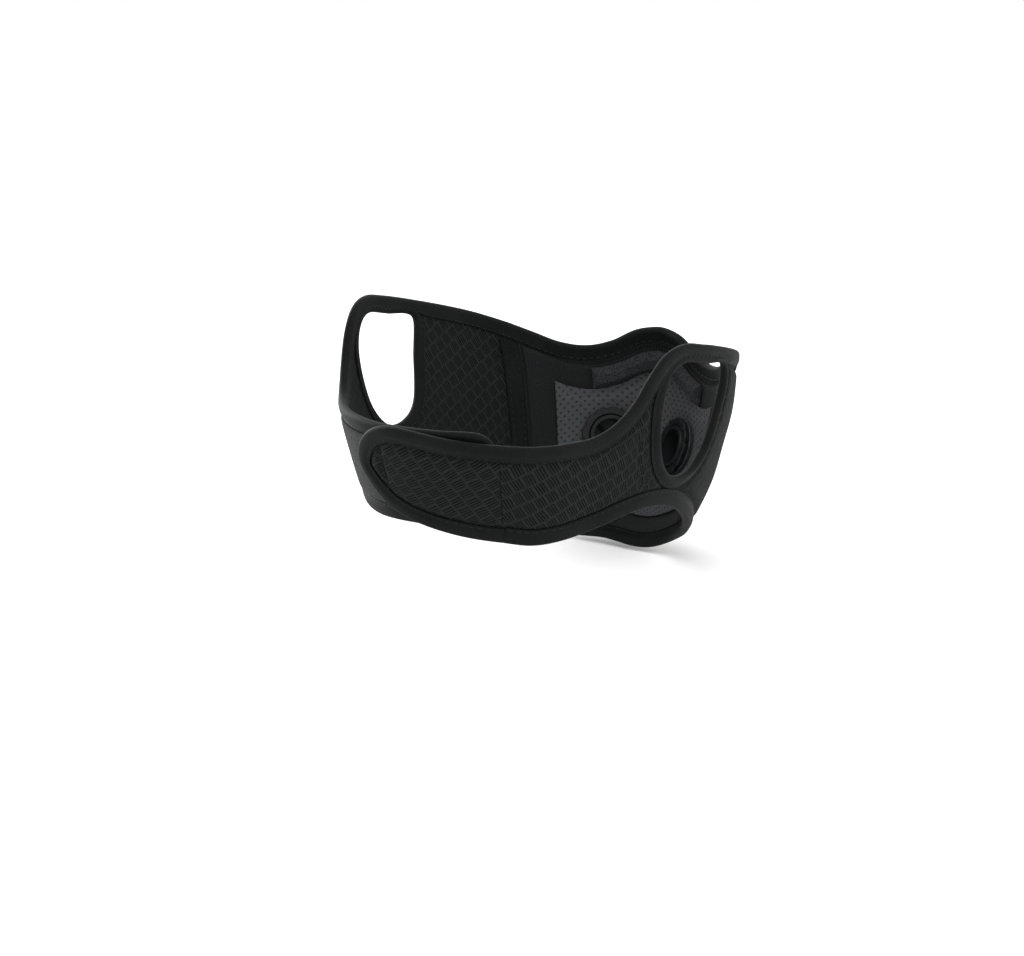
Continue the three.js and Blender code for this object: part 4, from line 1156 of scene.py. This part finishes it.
def moulded_nylon():
    """Glass-filled nylon, black, from a spark-eroded mould: an even fine texture of 0.25 mm
    grains, satin rather than dull, with slightly polished high spots."""
    made, tree, shader = surface("textured moulded nylon", roughness=0.46, ior=1.53,
                                 specular_ior_level=0.2)
    place = node(tree, "TexCoord", out="Object")
    grain = node(tree, "TexNoise", {"Vector": place, "Scale": 3800.0, "Detail": 2.0})
    cloud = node(tree, "TexNoise", {"Vector": place, "Scale": 160.0, "Detail": 3.0})
    tree.links.new(mixed(tree, cloud, linear("#0a0b0c"), linear("#151718")),
                   shader.inputs["Base Color"])
    rough = node(tree, "MapRange", {"Value": cloud, "To Min": 0.4, "To Max": 0.56})
    tree.links.new(rough, shader.inputs["Roughness"])
    relief(tree, shader, grain, 0.05)
    return made


def soft_rubber():
    """Compression-moulded silicone, dark grey: smooth, with a bloom that dulls it in clouds."""
    made, tree, shader = surface("moulded silicone rubber", roughness=0.5, ior=1.41)
    place = node(tree, "TexCoord", out="Object")
    bloom = node(tree, "TexNoise", {"Vector": place, "Scale": 240.0, "Detail": 4.0})
    tree.links.new(mixed(tree, bloom, linear("#1c1e20"), linear("#2b2e30")),
                   shader.inputs["Base Color"])
    relief(tree, shader, bloom, 0.04)
    return made


nylon, silicone = moulded_nylon(), soft_rubber()
turn_round = np.linspace(0, 2 * np.pi, ROUND, endpoint=False)[:, None]
for name, side in SIDES:
    print_level = cloth_level(name, side, PANEL)
    # Seat: bore, sealing rim, flange down to the cloth, and barrel.
    outline = np.array([
        [BORE_RADIUS, BARREL_END], [BORE_RADIUS, 3.9], [7.6, 4.15], [8.1, FLANGE_TOP],
        [8.3, 4.36], [8.6, 4.36], [8.8, FLANGE_TOP], [11.9, FLANGE_TOP], [12.35, 4.05],
        [FLANGE_RADIUS, 3.7], [FLANGE_RADIUS, 0], [BARREL_RADIUS, 0], [BARREL_RADIUS, -8.5],
        [8.8, BARREL_END]])
    radius = np.broadcast_to(outline[:, 0], (ROUND, len(outline)))
    height = np.array(np.broadcast_to(outline[:, 1], radius.shape))
    for k in (10, 11):
        height[:, k] = print_level(radius[:, k], turn_round[:, 0]) - 0.7
    seat = dress(turned(f"seat_{name}", name, radius, height, turn_round), nylon)
    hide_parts(f"valve_seat_{name}")
    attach(seat, "front")
    # Two crossed bars in the bore keep the rubber disc from being drawn in.
    for bar, way in (("long", 0.0), ("cross", math.pi / 2)):
        corner = np.linspace(0, 2 * np.pi, 12, endpoint=False)
        wide = 0.7 * np.sign(np.cos(corner)) * np.abs(np.cos(corner)) ** 0.5
        deep = 0.7 * np.sign(np.sin(corner)) * np.abs(np.sin(corner)) ** 0.5
        ends = np.linspace(-8, 8, 9)[:, None]
        x = ends * math.cos(way) - wide * math.sin(way)
        y = ends * math.sin(way) + wide * math.cos(way)
        points = in_port(name, np.hypot(x, y), np.arctan2(y, x), 3.45 + deep + 0 * ends)
        index = np.arange(9 * 12).reshape(9, 12)
        nxt = np.roll(index, -1, 1)
        quads = np.stack([index[:-1], nxt[:-1], nxt[1:], index[1:]], -1).reshape(-1, 4)
        strip = lambda row: np.stack([row[:5], row[1:6], row[[10, 9, 8, 7, 6]],
                                      row[[11, 10, 9, 8, 7]]], -1)
        quads = np.concatenate([quads, strip(index[-1]), strip(index[0])[:, ::-1]])
        flat = points.reshape(-1, 3) - points.mean((0, 1))
        if (flat[quads[:96, 0]] * np.cross(flat[quads[:96, 1]], flat[quads[:96, 2]])).sum() < 0:
            quads = quads[:, ::-1]
        piece = dress(mesh_object(f"seat_bar_{bar}_{name}", points, quads), nylon)
        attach(piece, "front")
    # Rubber disc, with a raised centre and one ring.
    radial = np.linspace(0.02, 8.9, 40)[None]
    crown = 0.6 + 0.35 * rise((1.6 - radial) / 0.5) + 0.18 * np.exp(-((radial - 6.2) / 0.35) ** 2)
    crown = crown - 0.35 * rise((radial - 8.4) / 0.5)
    disc = dress(solid(f"disc_{name}",
                       in_port(name, radial, turn_round, CAP_BASE + 0.02 + 0 * radial),
                       in_port(name, radial, turn_round, CAP_BASE + crown + 0 * radial),
                       ring=True), silicone, silicone)
    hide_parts(f"valve_diaphragm_{name}")
    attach(disc, f"diaphragm_{name}")
    # Cap: a low dome with six slots and a ribbed grip.
    shape = np.array([
        [0.02, 4.0, 2.75], [2.6, 3.98, 2.7], [3.1, 3.55, 2.5], [3.7, 3.5, 2.4], [8.7, 3.1, 2.0],
        [9.3, 3.35, 1.9], [10.4, 3.2, 1.7], [11.4, 2.75, 1.5], [12.1, 2.0, 1.2],
        [12.4, 1.2, 0.9], [12.45, 0.5, 0.5], [12.45, 0.0, 0.0]])
    fine = np.concatenate([np.linspace(k, k + 1, 4, endpoint=False) for k in range(11)] + [[11]])
    take = lambda column: np.interp(fine, np.arange(12), shape[:, column])[None]
    outer_r, outer_z, inner_z = take(0), take(1), take(2)
    inner_r = np.minimum(outer_r, 10.3 - 0.04 * (11 - fine)[None])
    grip = 0.16 * np.cos(24 * turn_round) * rise((outer_r - 11.6) / 0.6)
    keep = np.ones((ROUND, len(fine) - 1), bool)
    middle = (outer_r[0, 1:] + outer_r[0, :-1]) / 2
    wedge = (np.arange(ROUND) % 16 > 5) & (np.arange(ROUND) % 16 < 10)
    keep[np.ix_(wedge, (middle > 3.7) & (middle < 8.7))] = False
    cap = dress(solid(f"cap_{name}", in_port(name, inner_r, turn_round, CAP_BASE + inner_z),
                      in_port(name, outer_r - 0.16 + grip, turn_round, CAP_BASE + outer_z),
                      keep, ring=True, soft=math.radians(35)), nylon, nylon)
    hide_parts(f"valve_cap_{name}")
    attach(cap, f"cap_{name}")
    # Gasket: flat below, moulded to the cloth above.
    filter_level = cloth_level(name, side, FILTER_OUTER - FILTER)
    outline = np.array([[9.3, 0], [12.0, 0], [12.2, -0.4], [12.2, -GASKET_DEPTH + 0.3],
                        [11.9, -GASKET_DEPTH], [9.3, -GASKET_DEPTH]])
    radius = np.broadcast_to(outline[:, 0], (ROUND, 6))
    height = np.array(np.broadcast_to(outline[:, 1], radius.shape))
    for k, drop in ((0, 0.05), (1, 0.05), (2, 0.4)):
        height[:, k] = filter_level(radius[:, k], turn_round[:, 0]) - drop
    gasket = dress(turned(f"gasket_{name}", name, radius, height, turn_round), silicone)
    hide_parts(f"valve_gasket_{name}")
    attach(gasket, "front")
    # Lock ring, with twelve finger notches.
    notch = 0.9 * rise((np.cos(12 * turn_round) - 0.55) / 0.35)
    outline = np.array([[9.3, -6.35], [12.1, -6.35], [12.45, -6.6], [12.45, -8.1], [12.15, -8.4],
                        [9.6, -8.4], [9.3, -8.1]])
    radius = outline[:, 0] - notch * (outline[:, 0] > 11)
    ring_ = dress(turned(f"ring_{name}", name, radius, outline[:, 1] + 0 * radius, turn_round),
                  nylon)
    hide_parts(f"lock_ring_{name}")
    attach(ring_, f"ring_{name}")

# ---------------------------------------------------------------- floor, light and camera
floor_level = cad_box[0][2] - 0.0012
bpy.ops.mesh.primitive_plane_add(size=4, location=(0, 0, floor_level))
floor = bpy.context.object
floor.name = "floor"
paper, tree, shader = surface("matte white paper", "#f6f6f6", roughness=0.95, ior=1.45)
# The sheet fades out between 0.35 and 0.9 m from the mask, so that it has no far edge.
away = node(tree, "VectorMath", {0: node(tree, "TexCoord", out="Object")}, out=1,
            operation="LENGTH")
fade = node(tree, "MapRange", {"Value": away, "From Min": 0.9, "From Max": 0.35})
tree.links.new(fade, shader.inputs["Alpha"])
floor.data.materials.append(paper)

world = bpy.data.worlds.new("studio")
bpy.context.scene.world = world
bpy.context.scene.view_settings.view_transform = "Standard"
world.use_nodes = True
world.node_tree.nodes["Background"].inputs["Color"].default_value = linear("#ffffff")
world.node_tree.nodes["Background"].inputs["Strength"].default_value = 1.0


def soft_box(name, at, size, watts):
    """A square area light that faces the mask."""
    lamp = bpy.data.lights.new(name, "AREA")
    lamp.shape, lamp.size, lamp.energy = "SQUARE", size, watts
    made = bpy.data.objects.new(name, lamp)
    bpy.context.scene.collection.objects.link(made)
    made.location = at
    made.rotation_euler = (-Vector(at)).to_track_quat("-Z", "Y").to_euler()


soft_box("high key", (-0.5, 1.0, 1.6), 1.2, 17)
soft_box("side fill", (-1.6, 0.2, 0.7), 1.0, 7)
soft_box("front fill", (0.9, -1.4, 0.9), 1.2, 12)
soft_box("left edge", (1.5, -0.35, 0.25), 0.9, 30)
soft_box("right edge", (-1.3, -0.9, 0.3), 0.9, 8)

# The camera looks from behind the wearer's right shoulder, a little down.
TURN, LOOK_DOWN, ROLL = math.radians(32), math.radians(14), math.radians(2)
back = Vector((-math.sin(TURN) * math.cos(LOOK_DOWN), math.cos(TURN) * math.cos(LOOK_DOWN),
               math.sin(LOOK_DOWN)))
right0 = Vector((-math.cos(TURN), -math.sin(TURN), 0))
up0 = back.cross(right0)
right = right0 * math.cos(ROLL) + up0 * math.sin(ROLL)
up = up0 * math.cos(ROLL) - right0 * math.sin(ROLL)
camera = bpy.data.objects.new("camera", bpy.data.cameras.new("camera"))
camera.data.lens = 101.07
camera.data.sensor_width = 36
camera.matrix_world = Matrix.Translation(1.150 * back - 0.0108 * right - 0.0328 * up) @ Matrix(
    (right, up, back)).transposed().to_4x4()
bpy.context.scene.collection.objects.link(camera)
bpy.context.scene.camera = camera
